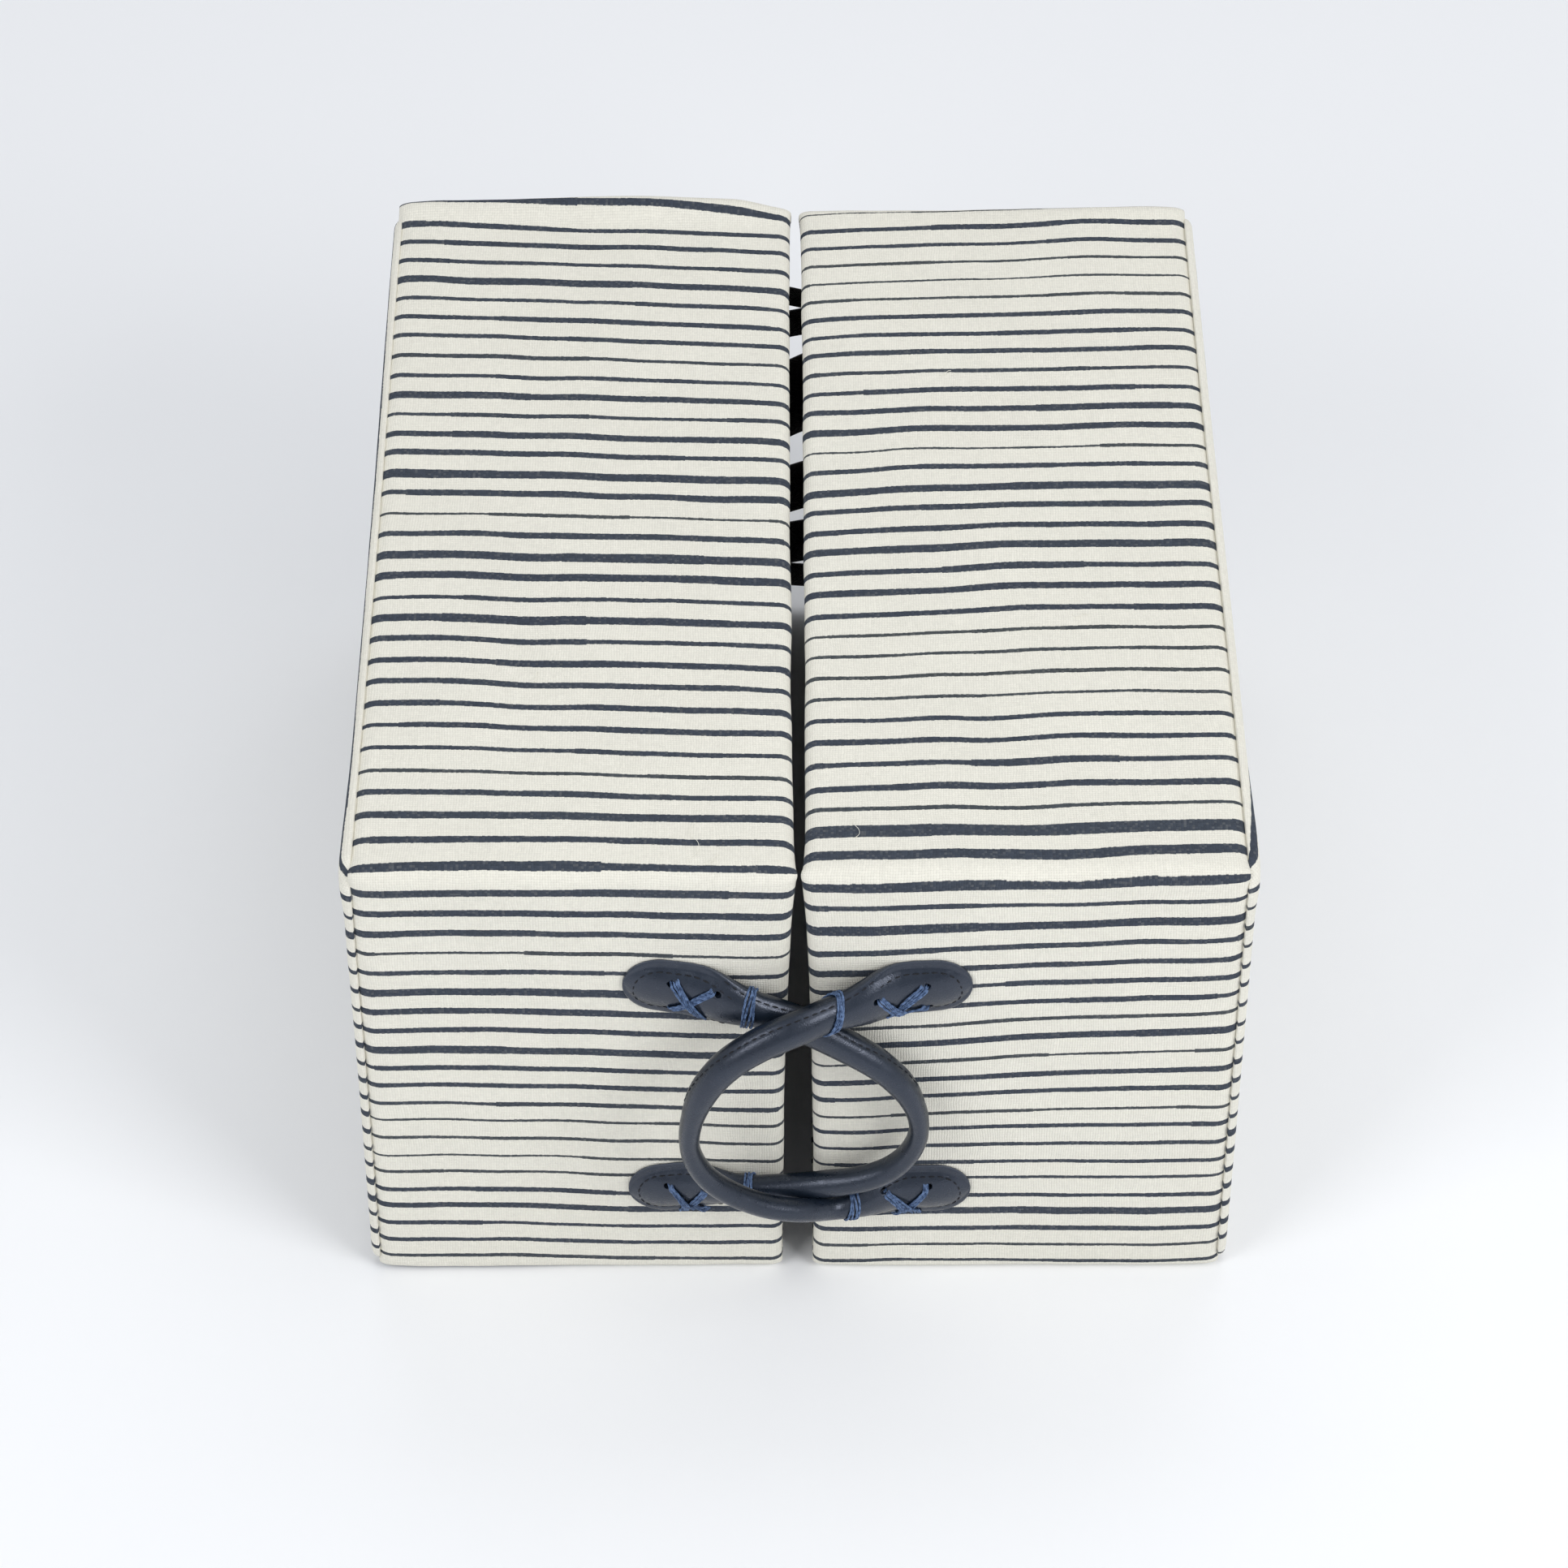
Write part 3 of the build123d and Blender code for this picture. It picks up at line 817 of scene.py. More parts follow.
def panel_edge_steps():
    """Round a side panel's edge and in under it: how far out from the rim of its face, and
    how far below the face."""
    turns = [(math.sin(t), 1 - math.cos(t)) for t in np.radians([18, 36, 54, 72, 90])]
    steps = [((EDGE_RUN - EDGE_OUT) * s, 3.0 * c) for s, c in turns]
    steps += [(EDGE_RUN - EDGE_OUT - 0.15, 3.2), (EDGE_RUN - 1.4, 3.4), (EDGE_RUN - 3.0, 3.6), (-5.0, 3.8)]
    return steps


def make_side_panel(half):
    """The canvas over a half's outer side panel, softly padded, with a plump edge that
    tucks into the crease beside the belt."""
    side = SIDES[half]
    seed = 11 + side
    wide = grid_line(60, LONG_HALF - EDGE_RUN, PANEL_CORNER, 6)
    high = grid_line(38, TALL_HALF - EDGE_RUN, PANEL_CORNER, 6)
    columns, levels = len(wide), len(high)
    points, pattern, threads = [], [], []

    def lay(y, z, out, extra_y=0.0, extra_z=0.0):
        """Adds a point. The extras are the cloth that the rounding of the edge takes up."""
        flare = splay(half, y, z) * (0.55 if half == "left" else 1.0)
        points.append((side * (BELT_END + lean(min(z, HEIGHT)) + out + flare), y, max(z, 0.05)))
        rise = z + extra_z
        pattern.append((y + extra_y + 30 * seed, panel_phase(half, y, z, rise)))
        threads.append((y + extra_y, rise))

    def place(a, b):
        return rounded_place(a, b, LONG_HALF - EDGE_RUN, TALL_HALF - EDGE_RUN, PANEL_CORNER - CORNER_EASE)

    for b in high:
        for a in wide:
            y, z = place(a, b)
            pad = (1 - abs(a) ** 6) * (1 - abs(b) ** 5)
            swell = -0.4 + pad * (0.5 + 0.5 * wave(y / 80, z / 70, 1, seed))
            swell += 0.1 * wave(y / 18, z / 18, 2, seed)
            lay(MIDDLE + y, TALL_HALF + z, PANEL + swell + plump(MIDDLE + y, TALL_HALF + z))
    faces = lattice_faces(levels, columns)
    ring = lattice_edge(levels, columns)
    before = [r * columns + c for r, c in ring]
    reach_y = LONG_HALF - EDGE_RUN - PANEL_CORNER + CORNER_EASE
    reach_z = TALL_HALF - EDGE_RUN - PANEL_CORNER + CORNER_EASE
    travelled, last = 0.0, (0.0, 0.0)
    for out, down in panel_edge_steps():
        travelled += math.hypot(out - last[0], down - last[1])
        last = (out, down)
        row = []
        for r, c in ring:
            y0, z0 = place(wide[c], high[r])
            ny = y0 - max(-reach_y, min(reach_y, y0))
            nz = z0 - max(-reach_z, min(reach_z, z0))
            size = math.hypot(ny, nz)
            ny, nz = ny / size, nz / size
            soft = 0.16 * wave(y0 / 11, z0 / 11, 5, seed) if down < 3.4 else 0.0
            puff = plump(MIDDLE + y0, TALL_HALF + z0) * max(0.0, 1 - down / 2.6)
            row.append(len(points))
            y, z = MIDDLE + y0 + ny * (out + soft), TALL_HALF + z0 + nz * (out + soft)
            lay(y, z, PANEL - 0.4 - down + puff, ny * travelled - ny * out, nz * travelled - nz * out)
        for i in range(len(row)):
            j = (i + 1) % len(row)
            faces.append((before[i], row[i], row[j], before[j]))
        before = row
    faces.append(tuple(before))
    widths = [max(2.0, stripe_width(half, round(count) - COUNT_APART)) for _, count in pattern]
    made = make_object(
        f"{half}_side_canvas", points, faces, canvas,
        maps={"pattern": pattern, "threads": threads}, values={"stripe_width": widths},
    )
    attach(made, f"{half}_half")
    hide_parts(f"{half}_side_cover")


for half in SIDES:
    make_belt(half)
    make_boards(half)
    make_side_panel(half)


# ---------------------------------------------------------------- handles

# Each handle's route as x, z and distance out from the front, from root to root
ROUTES = {
    "left": [
        (-14.5, 160.8, 6.4), (0.0, 153.6, 6.6), (18.0, 141.8, 8.0), (30.0, 132.4, 9.2),
        (39.5, 119.2, 10.2), (44.0, 104.0, 10.8), (42.9, 90.6, 11.0), (36.0, 77.4, 10.7),
        (24.0, 68.4, 9.8), (8.0, 62.2, 7.4), (-14.5, 58.8, 6.4),
    ],
    "right": [
        (13.0, 164.0, 10.0), (0.0, 163.6, 17.2), (-14.0, 158.4, 20.6), (-26.4, 148.0, 22.2),
        (-35.2, 132.6, 23.0), (-39.6, 113.0, 23.0), (-38.7, 97.4, 23.0), (-31.1, 82.2, 22.8),
        (-16.0, 68.3, 21.0), (-1.0, 59.4, 17.4), (13.0, 51.2, 9.8),
    ],
}
TAB_CENTRES = {
    ("left", 0): (-49.5, 168.2), ("left", 1): (-50.0, 52.6),
    ("right", 0): (48.5, 167.6), ("right", 1): (51.0, 51.8),
}
TAB_END = 13.6  # radius of the tab's round end
MARGIN = 3.4  # flat edge outside the stitching

# Half-width of an upper and a lower tab, from the centre of the round end to the root
TAB_WIDTHS = {
    0: [(0, 13.6), (7, 13.9), (14, 13.6), (18, 12.9), (22, 11.8), (26, 10.3), (30, 8.9), (36, 7.2)],
    1: [
        (0, 13.6), (7, 13.6), (12, 13.1), (16, 12.1), (20, 10.6), (24, 8.4), (28, 6.5), (32, 5.3),
        (36, 4.8),
    ],
}
WIDTHS_END = 36  # the last place in both tables, at the root
# How far out the middle of a tab stands, along the same line
TAB_CRESTS = [(-13.6, 1.5), (-12, 2.2), (-10, 3.0), (-8, 3.8), (-5, 4.8), (0, 5.7), (7, 6.2), (14, 6.6)]

# Along the roll, as a share of its length: half-width in its own plane, and out of it
UPPER_ROLL = [
    (0.0, 7.2, 5.6), (0.06, 7.0, 5.7), (0.16, 6.5, 6.0), (0.27, 6.0, 6.0), (0.37, 5.2, 5.9),
    (0.45, 4.2, 5.4), (0.53, 3.7, 5.1),
]
ROLL_FORM = {
    "left": UPPER_ROLL + [(0.62, 4.0, 4.9), (0.72, 4.8, 4.9), (0.84, 5.4, 5.0), (1.0, 4.9, 4.9)],
    "right": UPPER_ROLL + [(0.62, 3.9, 4.9), (0.72, 4.3, 4.8), (0.88, 4.5, 4.6), (1.0, 4.7, 4.6)],
}
FRONT_CELLS, BACK_CELLS = 40, 24  # points round a section, over its front and its back

# The roll's seam: height and half-width of its lip, depth and half-width of the groove beside
# it, and how far round the roll the groove lies from the lip. Widths are in radians
LIP_HEIGHT, LIP_SPREAD = 0.2, 0.2
GROOVE_DEPTH, GROOVE_SPREAD, GROOVE_TURN = 0.16, 0.12, 0.36


def smooth_line(points, step):
    """A Catmull-Rom line through points, sampled at an even step."""
    points = np.array(points, float)
    padded = np.vstack([2 * points[0] - points[1], points, 2 * points[-1] - points[-2]])
    dense = []
    for i in range(1, len(padded) - 2):
        p0, p1, p2, p3 = padded[i - 1 : i + 3]
        for t in np.linspace(0, 1, 24, endpoint=False):
            bend = (2 * p0 - 5 * p1 + 4 * p2 - p3) * t**2 + (3 * p1 - p0 - 3 * p2 + p3) * t**3
            dense.append(0.5 * (2 * p1 + (p2 - p0) * t + bend))
    dense = np.array(dense + [points[-1]])
    travel = np.concatenate([[0], np.cumsum(np.linalg.norm(np.diff(dense, axis=0), axis=1))])
    even = np.linspace(0, travel[-1], max(2, round(travel[-1] / step)) + 1)
    return np.stack([np.interp(even, travel, dense[:, k]) for k in range(3)], 1)


def tab_frame(half, end):
    """A tab's centre, its direction towards the roll, its length and its root."""
    centre = np.array(TAB_CENTRES[half, end])
    root = np.array(ROUTES[half][0 if end == 0 else -1])
    reach = math.hypot(*(root[:2] - centre))
    return centre, (root[:2] - centre) / reach, reach, root


def tab_section(half, end, q):
    """A tab's cross-section at q: half-width, crest, rim height, underside, and how far
    it has closed into a roll."""
    _, _, reach, root = tab_frame(half, end)
    across, thick = at(ROLL_FORM[half], float(end), 1), at(ROLL_FORM[half], float(end), 2)
    widths = TAB_WIDTHS[end]
    width = math.sqrt(max(0.25, TAB_END**2 - q * q)) if q < 0 else at(widths, q * WIDTHS_END / reach, 1)
    closed = ease(q, 9, reach)
    width += (across - widths[-1][1]) * closed
    crest = at(TAB_CRESTS, q, 1) * (1 - closed) + (root[2] + thick) * closed
    rim = 1.6 * (1 - closed) + root[2] * closed
    under = ease(q, 18, reach) * (root[2] - thick)
    return width, crest, rim, max(under, 0.02), closed


def front_height(section, n):
    """How far out the front of a cross-section stands, at n across it."""
    width, crest, rim, _, closed = section
    share = min(1.0, abs(n) / width)
    margin = MARGIN * (1 - closed)
    inner = max(0.0, 1 - (abs(n) / max(width - margin, 0.2)) ** 2) ** 0.7
    dome = inner * (1 - closed) + math.sqrt(1 - share**2) * closed
    return rim + (crest - rim) * dome - 0.5 * share**14 * (1 - closed)


def tab_height(half, end, x, z):
    """How far out a tab's leather stands at a place on the front."""
    centre, along, _, _ = tab_frame(half, end)
    away = np.array((x, z)) - centre
    q, n = float(away @ along), float(away @ np.array((-along[1], along[0])))
    section = tab_section(half, end, q)
    return front_height(section, n) if abs(n) < section[0] and q > -TAB_END else 0.1


def seam_angle(half, share, beside=0.0):
    """Where the seam lies round the roll. It runs along the outside and turns behind at the
    tip."""
    angle = math.radians(3 - 45 * ease(share, 0.2, 0.5)) + beside
    return angle if half == "right" else math.pi - angle


def section_ring(section, centre, aside, outward, seam, lip, side):
    """Points round one cross-section of a handle, and how much paler the leather is at each: worn at the
    tabs' edges, and a painted highlight on the seam's lip.
    """
    width, _, rim, under, closed = section
    ring, rub_and_sheen_marks = [], []
    for k in range(FRONT_CELLS + BACK_CELLS):
        if k < FRONT_CELLS:
            angle = math.pi * (k + 0.5) / FRONT_CELLS
            n = width * math.cos(angle)
            height = front_height(section, n)
        else:
            angle = math.pi + math.pi * (k - FRONT_CELLS + 0.5) / BACK_CELLS
            n = width * math.cos(angle)
            height = rim - (rim - under) * abs(math.sin(angle)) ** (0.2 + 0.8 * closed)
        gap = (angle - seam + math.pi) % (2 * math.pi) - math.pi
        ridge = LIP_HEIGHT * lip * math.exp(-((gap / LIP_SPREAD) ** 2))
        groove = GROOVE_DEPTH * lip * math.exp(-(((gap - side * GROOVE_TURN) / GROOVE_SPREAD) ** 2))
        n += (ridge - groove) * math.cos(angle)
        height += (ridge - groove) * math.sin(angle)
        ring.append(centre + aside * n + outward * (height - rim * closed))
        worn = ease(abs(math.cos(angle)), 0.95, 1.0) * (1 - closed) * 0.35
        # The seam's lip is made paler too: a painted highlight
        rub_and_sheen_marks.append(worn + 0.12 * ridge)
    return ring, rub_and_sheen_marks


def tab_stations(half, end):
    """Stations along a tab, from its round end to the roll: foot on the front, section,
    place, and how far out its middle is."""
    centre, along, reach, root = tab_frame(half, end)
    places = [-13.58, -13.4, -13.0, -12.4, -11.5, -10.4, -9.0, -7.4, -5.6, -3.6, -1.5]
    places += list(np.arange(0.6, reach - 0.8, 1.3))
    rows = []
    for q in places:
        section = tab_section(half, end, q)
        spot = centre + along * q
        rows.append((np.array((spot[0], FRONT, spot[1])), section, q, root[2] * section[4]))
    return rows


def roll_stations(half):
    """Stations along the roll, in the same form. Their place is a share of its length."""
    line = smooth_line(ROUTES[half], 1.25)
    rows = []
    for i, (x, z, out) in enumerate(line):
        share = i / (len(line) - 1)
        width, thick = at(ROLL_FORM[half], share, 1), at(ROLL_FORM[half], share, 2)
        rows.append((np.array((x, FRONT, z)), (width, out + thick, out, out - thick, 1.0), share, out))
    return rows


def build_rings(half):
    """Cross-section rings along a whole handle, from one tab's end to the other's."""
    upper, rolled, lower = tab_stations(half, 0), roll_stations(half), tab_stations(half, 1)
    rows = upper + rolled + lower[::-1]
    first_roll = len(upper)
    centres = np.array([row[0] - np.array((0, row[3], 0)) for row in rows])
    # The roots are eased, so that no kink shows where a tab becomes a roll
    eased = centres.copy()
    for _ in range(14):
        eased[1:-1] = eased[:-2] / 4 + eased[1:-1] / 2 + eased[2:] / 4
    rings, wear_and_sheen = [], []
    for i, (foot, section, place, _) in enumerate(rows):
        run = eased[min(i + 2, len(rows) - 1)] - eased[max(i - 2, 0)]
        run = run / np.linalg.norm(run)
        rim, closed = section[2], section[4]
        outward = np.array((0.0, -1.0, 0.0))
        outward = outward - run * (outward @ run) * closed
        outward /= np.linalg.norm(outward)
        aside = np.cross(run, outward)
        aside /= np.linalg.norm(aside)
        in_roll = first_roll <= i < first_roll + len(rolled)
        share = place if in_roll else float(i >= first_roll)
        lip = closed**2 * (1 - 0.75 * ease(share, 0.45, 0.6))
        centre = foot - np.array((0, rim * closed, 0)) + (eased[i] - centres[i]) * ease(closed, 0.3, 0.9)
        seam = seam_angle(half, share)
        ring, rub_and_sheen_marks = section_ring(section, centre, aside, outward, seam, lip, SIDES[half])
        rings.append(ring)
        wear_and_sheen += rub_and_sheen_marks
    return np.array(rings), wear_and_sheen, first_roll, len(rolled)


# The punch for the thread holes: its radius and length, and how far out its middle is
HOLE_RADIUS, PUNCH_LENGTH, PUNCH_OUT = 1.25, 12.0, 6.9


def punch_tabs(made, half):
    """Cuts the thread holes in a handle's two tabs."""
    tools = bmesh.new()
    radius = HOLE_RADIUS * MM
    turn = Euler((math.pi / 2, 0, 0)).to_matrix()
    for end in (0, 1):
        for x, z in HOLES[half, end]:
            drilled = bmesh.ops.create_cone(
                tools, cap_ends=True, segments=14, radius1=radius, radius2=radius, depth=PUNCH_LENGTH * MM
            )
            for vertex in drilled["verts"]:
                vertex.co = turn @ vertex.co + Vector((x, FRONT - PUNCH_OUT, z)) * MM
    cutter_mesh = bpy.data.meshes.new("punch")
    tools.to_mesh(cutter_mesh)
    tools.free()
    cutter = new_object("punch", cutter_mesh)
    cut = made.modifiers.new("punch", "BOOLEAN")
    cut.operation, cut.object, cut.solver = "DIFFERENCE", cutter, "EXACT"
    apply_modifiers(made)
    bpy.data.objects.remove(cutter)


# Thread holes in each tab, and the bars of thread that cross it, the lower bar first: places
# along a bar, and how far its strands spread at its start, middle and end
HOLES = {
    ("left", 0): [(-45.6, 173.2), (-28.9, 170.2), (-47.6, 159.4), (-33.2, 149.0)],
    ("left", 1): [(-49.0, 58.2), (-33.6, 58.4)],
    ("right", 0): [(27.7, 169.4), (45.6, 171.9), (46.8, 160.4)],
    ("right", 1): [(32.0, 57.9), (48.8, 57.4)],
}
BARS = {
    ("left", 0): [
        ([(-30.2, 171.3), (-34.9, 168.1), (-39.5, 164.5), (-43.3, 161.6), (-46.7, 159.3)], (0.7, 1.0, 1.0)),
        ([(-44.4, 174.4), (-41.5, 168.5), (-38.3, 162.4), (-33.9, 153.7)], (1.3, 1.2, 0.8)),
    ],
    ("left", 1): [
        ([(-34.7, 57.8), (-40.1, 47.9), (-43.6, 38.0)], (0.9, 1.1, 1.0)),
        ([(-47.9, 58.9), (-43.8, 52.0), (-40.0, 43.5), (-34.0, 38.2)], (0.6, 1.0, 1.3)),
    ],
    ("right", 0): [
        ([(45.0, 171.7), (41.0, 167.4), (36.7, 162.0), (33.3, 157.2), (31.2, 155.5)], (1.2, 1.5, 0.7)),
        ([(28.6, 170.3), (33.4, 163.5), (38.0, 157.9), (42.3, 157.4), (45.9, 160.9)], (0.9, 1.3, 1.0)),
    ],
    ("right", 1): [
        ([(47.8, 58.8), (47.2, 54.8), (42.4, 47.6), (38.8, 38.6), (35.4, 36.0)], (0.5, 1.1, 1.0)),
        ([(32.7, 57.3), (38.0, 50.6), (43.2, 41.6), (45.2, 37.0)], (0.9, 1.5, 1.3)),
    ],
}


# ---------------------------------------------------------------- thread trees


def new_geometry_tree(name, sizes):
    """An empty geometry tree with a mesh in and out and named inputs."""
    tree = bpy.data.node_groups.new(name, "GeometryNodeTree")
    tree.interface.new_socket("Paths", in_out="INPUT", socket_type="NodeSocketGeometry")
    for label, kind in sizes.items():
        tree.interface.new_socket(label, in_out="INPUT", socket_type=f"NodeSocket{kind}")
    tree.interface.new_socket("Mesh", in_out="OUTPUT", socket_type="NodeSocketGeometry")
    return tree, add(tree, "NodeGroupInput").outputs


def finish_tree(tree, mesh, given):
    """Ends a tree with real, smooth faces in the given material."""
    mesh = add(tree, "GeometryNodeRealizeInstances", (mesh,))
    mesh = add(tree, "GeometryNodeSetShadeSmooth", (mesh,))
    mesh = add(tree, "GeometryNodeSetMaterial", {"Geometry": mesh, "Material": given["Material"]})
    add(tree, "NodeGroupOutput", (mesh,))
    return tree


def make_twist_tree():
    """Winds several plies of thread round each path."""
    sizes = {
        "Plies": "Int", "Ply Radius": "Float", "Twist Length": "Float", "Step": "Float",
        "Material": "Material",
    }
    tree, given = new_geometry_tree("twisted_thread", sizes)
    curve = add(tree, "GeometryNodeMeshToCurve", (given["Paths"],))
    curve = add(tree, "GeometryNodeResampleCurve", {"Curve": curve, "Length": given["Step"]}, mode="LENGTH")
    plies = {"Geometry": curve, "Amount": given["Plies"]}
    plies = add(tree, "GeometryNodeDuplicateElements", plies, domain="SPLINE")
    length = add(tree, "GeometryNodeSplineParameter").outputs["Length"]
    turn = add(tree, MATH, (length, given["Twist Length"]), operation="DIVIDE")
    share = add(tree, MATH, (plies.outputs["Duplicate Index"], given["Plies"]), operation="DIVIDE")
    turn = add(tree, MATH, (turn, share), operation="ADD")
    angle = add(tree, MATH, (turn, 2 * math.pi), operation="MULTIPLY")
    normal = add(tree, "GeometryNodeInputNormal").outputs[0]
    tangent = add(tree, "GeometryNodeInputTangent")
    other = add(tree, "ShaderNodeVectorMath", (tangent, normal), operation="CROSS_PRODUCT")
    distance = add(tree, MATH, (given["Ply Radius"], 1.12), operation="MULTIPLY")
    parts = []
    for axis, kind in ((normal, "COSINE"), (other, "SINE")):
        amount = add(tree, MATH, (angle,), operation=kind)
        amount = add(tree, MATH, (amount, distance), operation="MULTIPLY")
        part = {"Vector": axis, "Scale": amount}
        parts.append(add(tree, "ShaderNodeVectorMath", part, operation="SCALE"))
    offset = add(tree, "ShaderNodeVectorMath", (*parts,), operation="ADD")
    wound = add(tree, "GeometryNodeSetPosition", {"Geometry": plies, "Offset": offset})
    profile = {"Resolution": 6, "Radius": given["Ply Radius"]}
    profile = add(tree, "GeometryNodeCurvePrimitiveCircle", profile)
    mesh = {"Curve": wound, "Profile Curve": profile, "Fill Caps": True}
    return finish_tree(tree, add(tree, "GeometryNodeCurveToMesh", mesh), given)


def make_stitch_tree():
    """Lays separate stitches end to end along each path, with small uneven gaps."""
    sizes = {"Pitch": "Float", "Stitch Length": "Float", "Radius": "Float", "Material": "Material"}
    tree, given = new_geometry_tree("running_stitch", sizes)
    curve = add(tree, "GeometryNodeMeshToCurve", (given["Paths"],))
    curve = add(tree, "GeometryNodeResampleCurve", {"Curve": curve, "Length": given["Pitch"]}, mode="LENGTH")
    half = add(tree, MATH, (given["Stitch Length"], 0.5), operation="MULTIPLY")
    scale = add(tree, "ShaderNodeCombineXYZ", (given["Radius"], given["Radius"], half))
    bead = add(tree, "GeometryNodeMeshUVSphere", {"Segments": 8, "Rings": 6, "Radius": 1.0})
    bead = add(tree, "GeometryNodeTransform", {"Geometry": bead, "Scale": scale})
    tangent = add(tree, "GeometryNodeInputTangent")
    turn = add(tree, "FunctionNodeAlignRotationToVector", {"Vector": tangent}, axis="Z")
    uneven = add(tree, "FunctionNodeRandomValue", data_type="FLOAT_VECTOR")
    uneven.inputs[0].default_value, uneven.inputs[1].default_value = (0.85, 0.85, 0.8), (1.1, 1.1, 1.1)
    uneven.inputs["Seed"].default_value = 7
    placed = {"Points": curve, "Instance": bead, "Rotation": turn, "Scale": uneven}
    return finish_tree(tree, add(tree, "GeometryNodeInstanceOnPoints", placed), given)


def grow(name, paths, tree, material, **sizes):
    """Runs a geometry tree along paths in millimetres and keeps a plain mesh."""
    points, edges = [], []
    for path in paths:
        edges += [(len(points) + i, len(points) + i + 1) for i in range(len(path) - 1)]
        points += [tuple(np.asarray(p) * MM) for p in path]
    mesh = bpy.data.meshes.new(name)
    mesh.from_pydata(points, edges, [])
    made = new_object(name, mesh)
    modifier = made.modifiers.new("grow", "NODES")
    modifier.node_group = tree
    sizes = {key.replace("_", " ").title(): value for key, value in sizes.items()}
    sizes["Material"] = material
    for item in tree.interface.items_tree:
        if item.item_type == "SOCKET" and item.in_out == "INPUT" and item.name in sizes:
            modifier[item.identifier] = sizes[item.name]
    apply_modifiers(made)
    return made


twist_tree = make_twist_tree()
stitch_tree = make_stitch_tree()


# ---------------------------------------------------------------- handle pieces


def ring_point(rings, place, angle, lift):
    """A point on a handle's skin: place counts rings, angle runs round a ring."""
    count = FRONT_CELLS + BACK_CELLS
    angle = angle % (2 * math.pi)
    if angle < math.pi:
        k = angle / math.pi * FRONT_CELLS - 0.5
    else:
        k = FRONT_CELLS + (angle - math.pi) / math.pi * BACK_CELLS - 0.5
    i, j = math.floor(place), math.floor(k)
    s, t = place - i, k - j
    corners = [rings[i + a][(j + b) % count] for a, b in ((0, 0), (0, 1), (1, 0), (1, 1))]
    skin = (corners[0] * (1 - t) + corners[1] * t) * (1 - s) + (corners[2] * (1 - t) + corners[3] * t) * s
    middle = rings[i].mean(0) * (1 - s) + rings[i + 1].mean(0) * s
    away = skin - middle
    return skin + away / np.linalg.norm(away) * lift


def edge_stitch_path(half, end):
    """The line of stitching round a tab, inside its edge."""
    centre, along, _, _ = tab_frame(half, end)
    across = np.array((-along[1], along[0]))
    path = []
    inset = MARGIN + 0.35
    last = 24.0 if end == 0 else 20.0
    for side in (1, -1):
        row = []
        for q in np.arange(-(TAB_END - inset) + 0.05, last, 0.8):
            section = tab_section(half, end, q)
            n = math.sqrt(max(0.0, (TAB_END - inset) ** 2 - q * q)) if q < 0 else section[0] - inset
            spot = centre + along * q + across * n * side - np.array((0, 0.7))
            n = float((spot - centre) @ across)
            row.append((spot[0], FRONT - front_height(section, n) - 0.05, spot[1]))
        path += row[::-1] if side == 1 else row[1:]
    return path


def bar_path(half, end, bar, lane, layer):
    """One strand of a bar of thread, lying over the tab and going down at both ends."""
    places, spreads = bar
    line = smooth_line([(x, z, 0.0) for x, z in places], 0.55)[:, :2]
    path = []
    for i, spot in enumerate(line):
        t = i / (len(line) - 1)
        way = line[min(i + 1, len(line) - 1)] - line[max(i - 1, 0)]
        way /= np.linalg.norm(way)
        aside = np.array((-way[1], way[0]))
        spread = float(np.interp(t, (0.0, 0.5, 1.0), spreads))
        drift = 0.16 * math.sin(6 * t + 2.3 * lane + layer + end)
        here = spot + aside * (lane * spread + drift)
        lift = max(tab_height(half, end, *(here + way * d)) for d in (-0.7, 0, 0.7)) + 0.5
        lift += 0.22 * math.cos(5 * lane) + layer * 0.9 * math.exp(-(((t - 0.5) / 0.24) ** 2))
        lift -= 2.2 * ease(abs(t - 0.5), 0.45, 0.5)
        path.append((here[0], FRONT - max(lift, 0.3), here[1]))
    return path


# Where each neck's turns of thread cross its upper and its lower side, in steps from the
# root towards the roll
WRAPS = {
    ("left", 0): (-3.1, -1.7), ("left", 1): (-2.2, -3.3),
    ("right", 0): (-1.3, 4.2), ("right", 1): (-5.6, -4.4),
}


def wrap_paths(half, end, rings, first_roll, roll_count):
    """Four turns of thread round a neck, bunched on its upper side."""
    root = first_roll if end == 0 else first_roll + roll_count - 1
    way = 1 if end == 0 else -1
    above, below = WRAPS[half, end]
    upward = 1 if (half == "right") == (end == 0) else -1
    paths = []
    for turn in range(4):
        path = []
        for angle in np.linspace(0, 2 * math.pi, 61):
            down = 0.5 - 0.5 * upward * math.cos(angle)
            slip = (turn - 1.5) * (0.62 + 0.36 * down) + 0.22 * math.sin(2 * angle + 1.7 * turn)
            place = above + (below - above) * down + slip
            lift = 0.4 + 0.25 * (turn % 2) * (1 - down)
            path.append(ring_point(rings, root + way * place, angle, lift))
        paths.append(path)
    return paths


CORE_RADIUS, CORE_CELLS = 2.3, 12


def make_core(half):
    """The cotton cord that fills the roll."""
    line = smooth_line(ROUTES[half], 3.0)
    line = line[round(len(line) * 0.07) : round(len(line) * 0.93)]
    centres = np.array([(x, FRONT - out, z) for x, z, out in line])
    points = []
    for i, centre in enumerate(centres):
        run = centres[min(i + 1, len(centres) - 1)] - centres[max(i - 1, 0)]
        aside = np.cross(run, (0.0, -1.0, 0.0))
        aside /= np.linalg.norm(aside)
        outward = np.cross(aside, run / np.linalg.norm(run))
        for angle in np.linspace(0, 2 * math.pi, CORE_CELLS, endpoint=False):
            points.append(centre + CORE_RADIUS * (aside * math.cos(angle) + outward * math.sin(angle)))
    faces = lattice_faces(len(centres), CORE_CELLS, wrap_columns=True)
    faces += [tuple(range(CORE_CELLS)), tuple(range(len(points) - CORE_CELLS, len(points)))]
    return make_object(f"{half}_core_cord", points, faces, core_cotton)
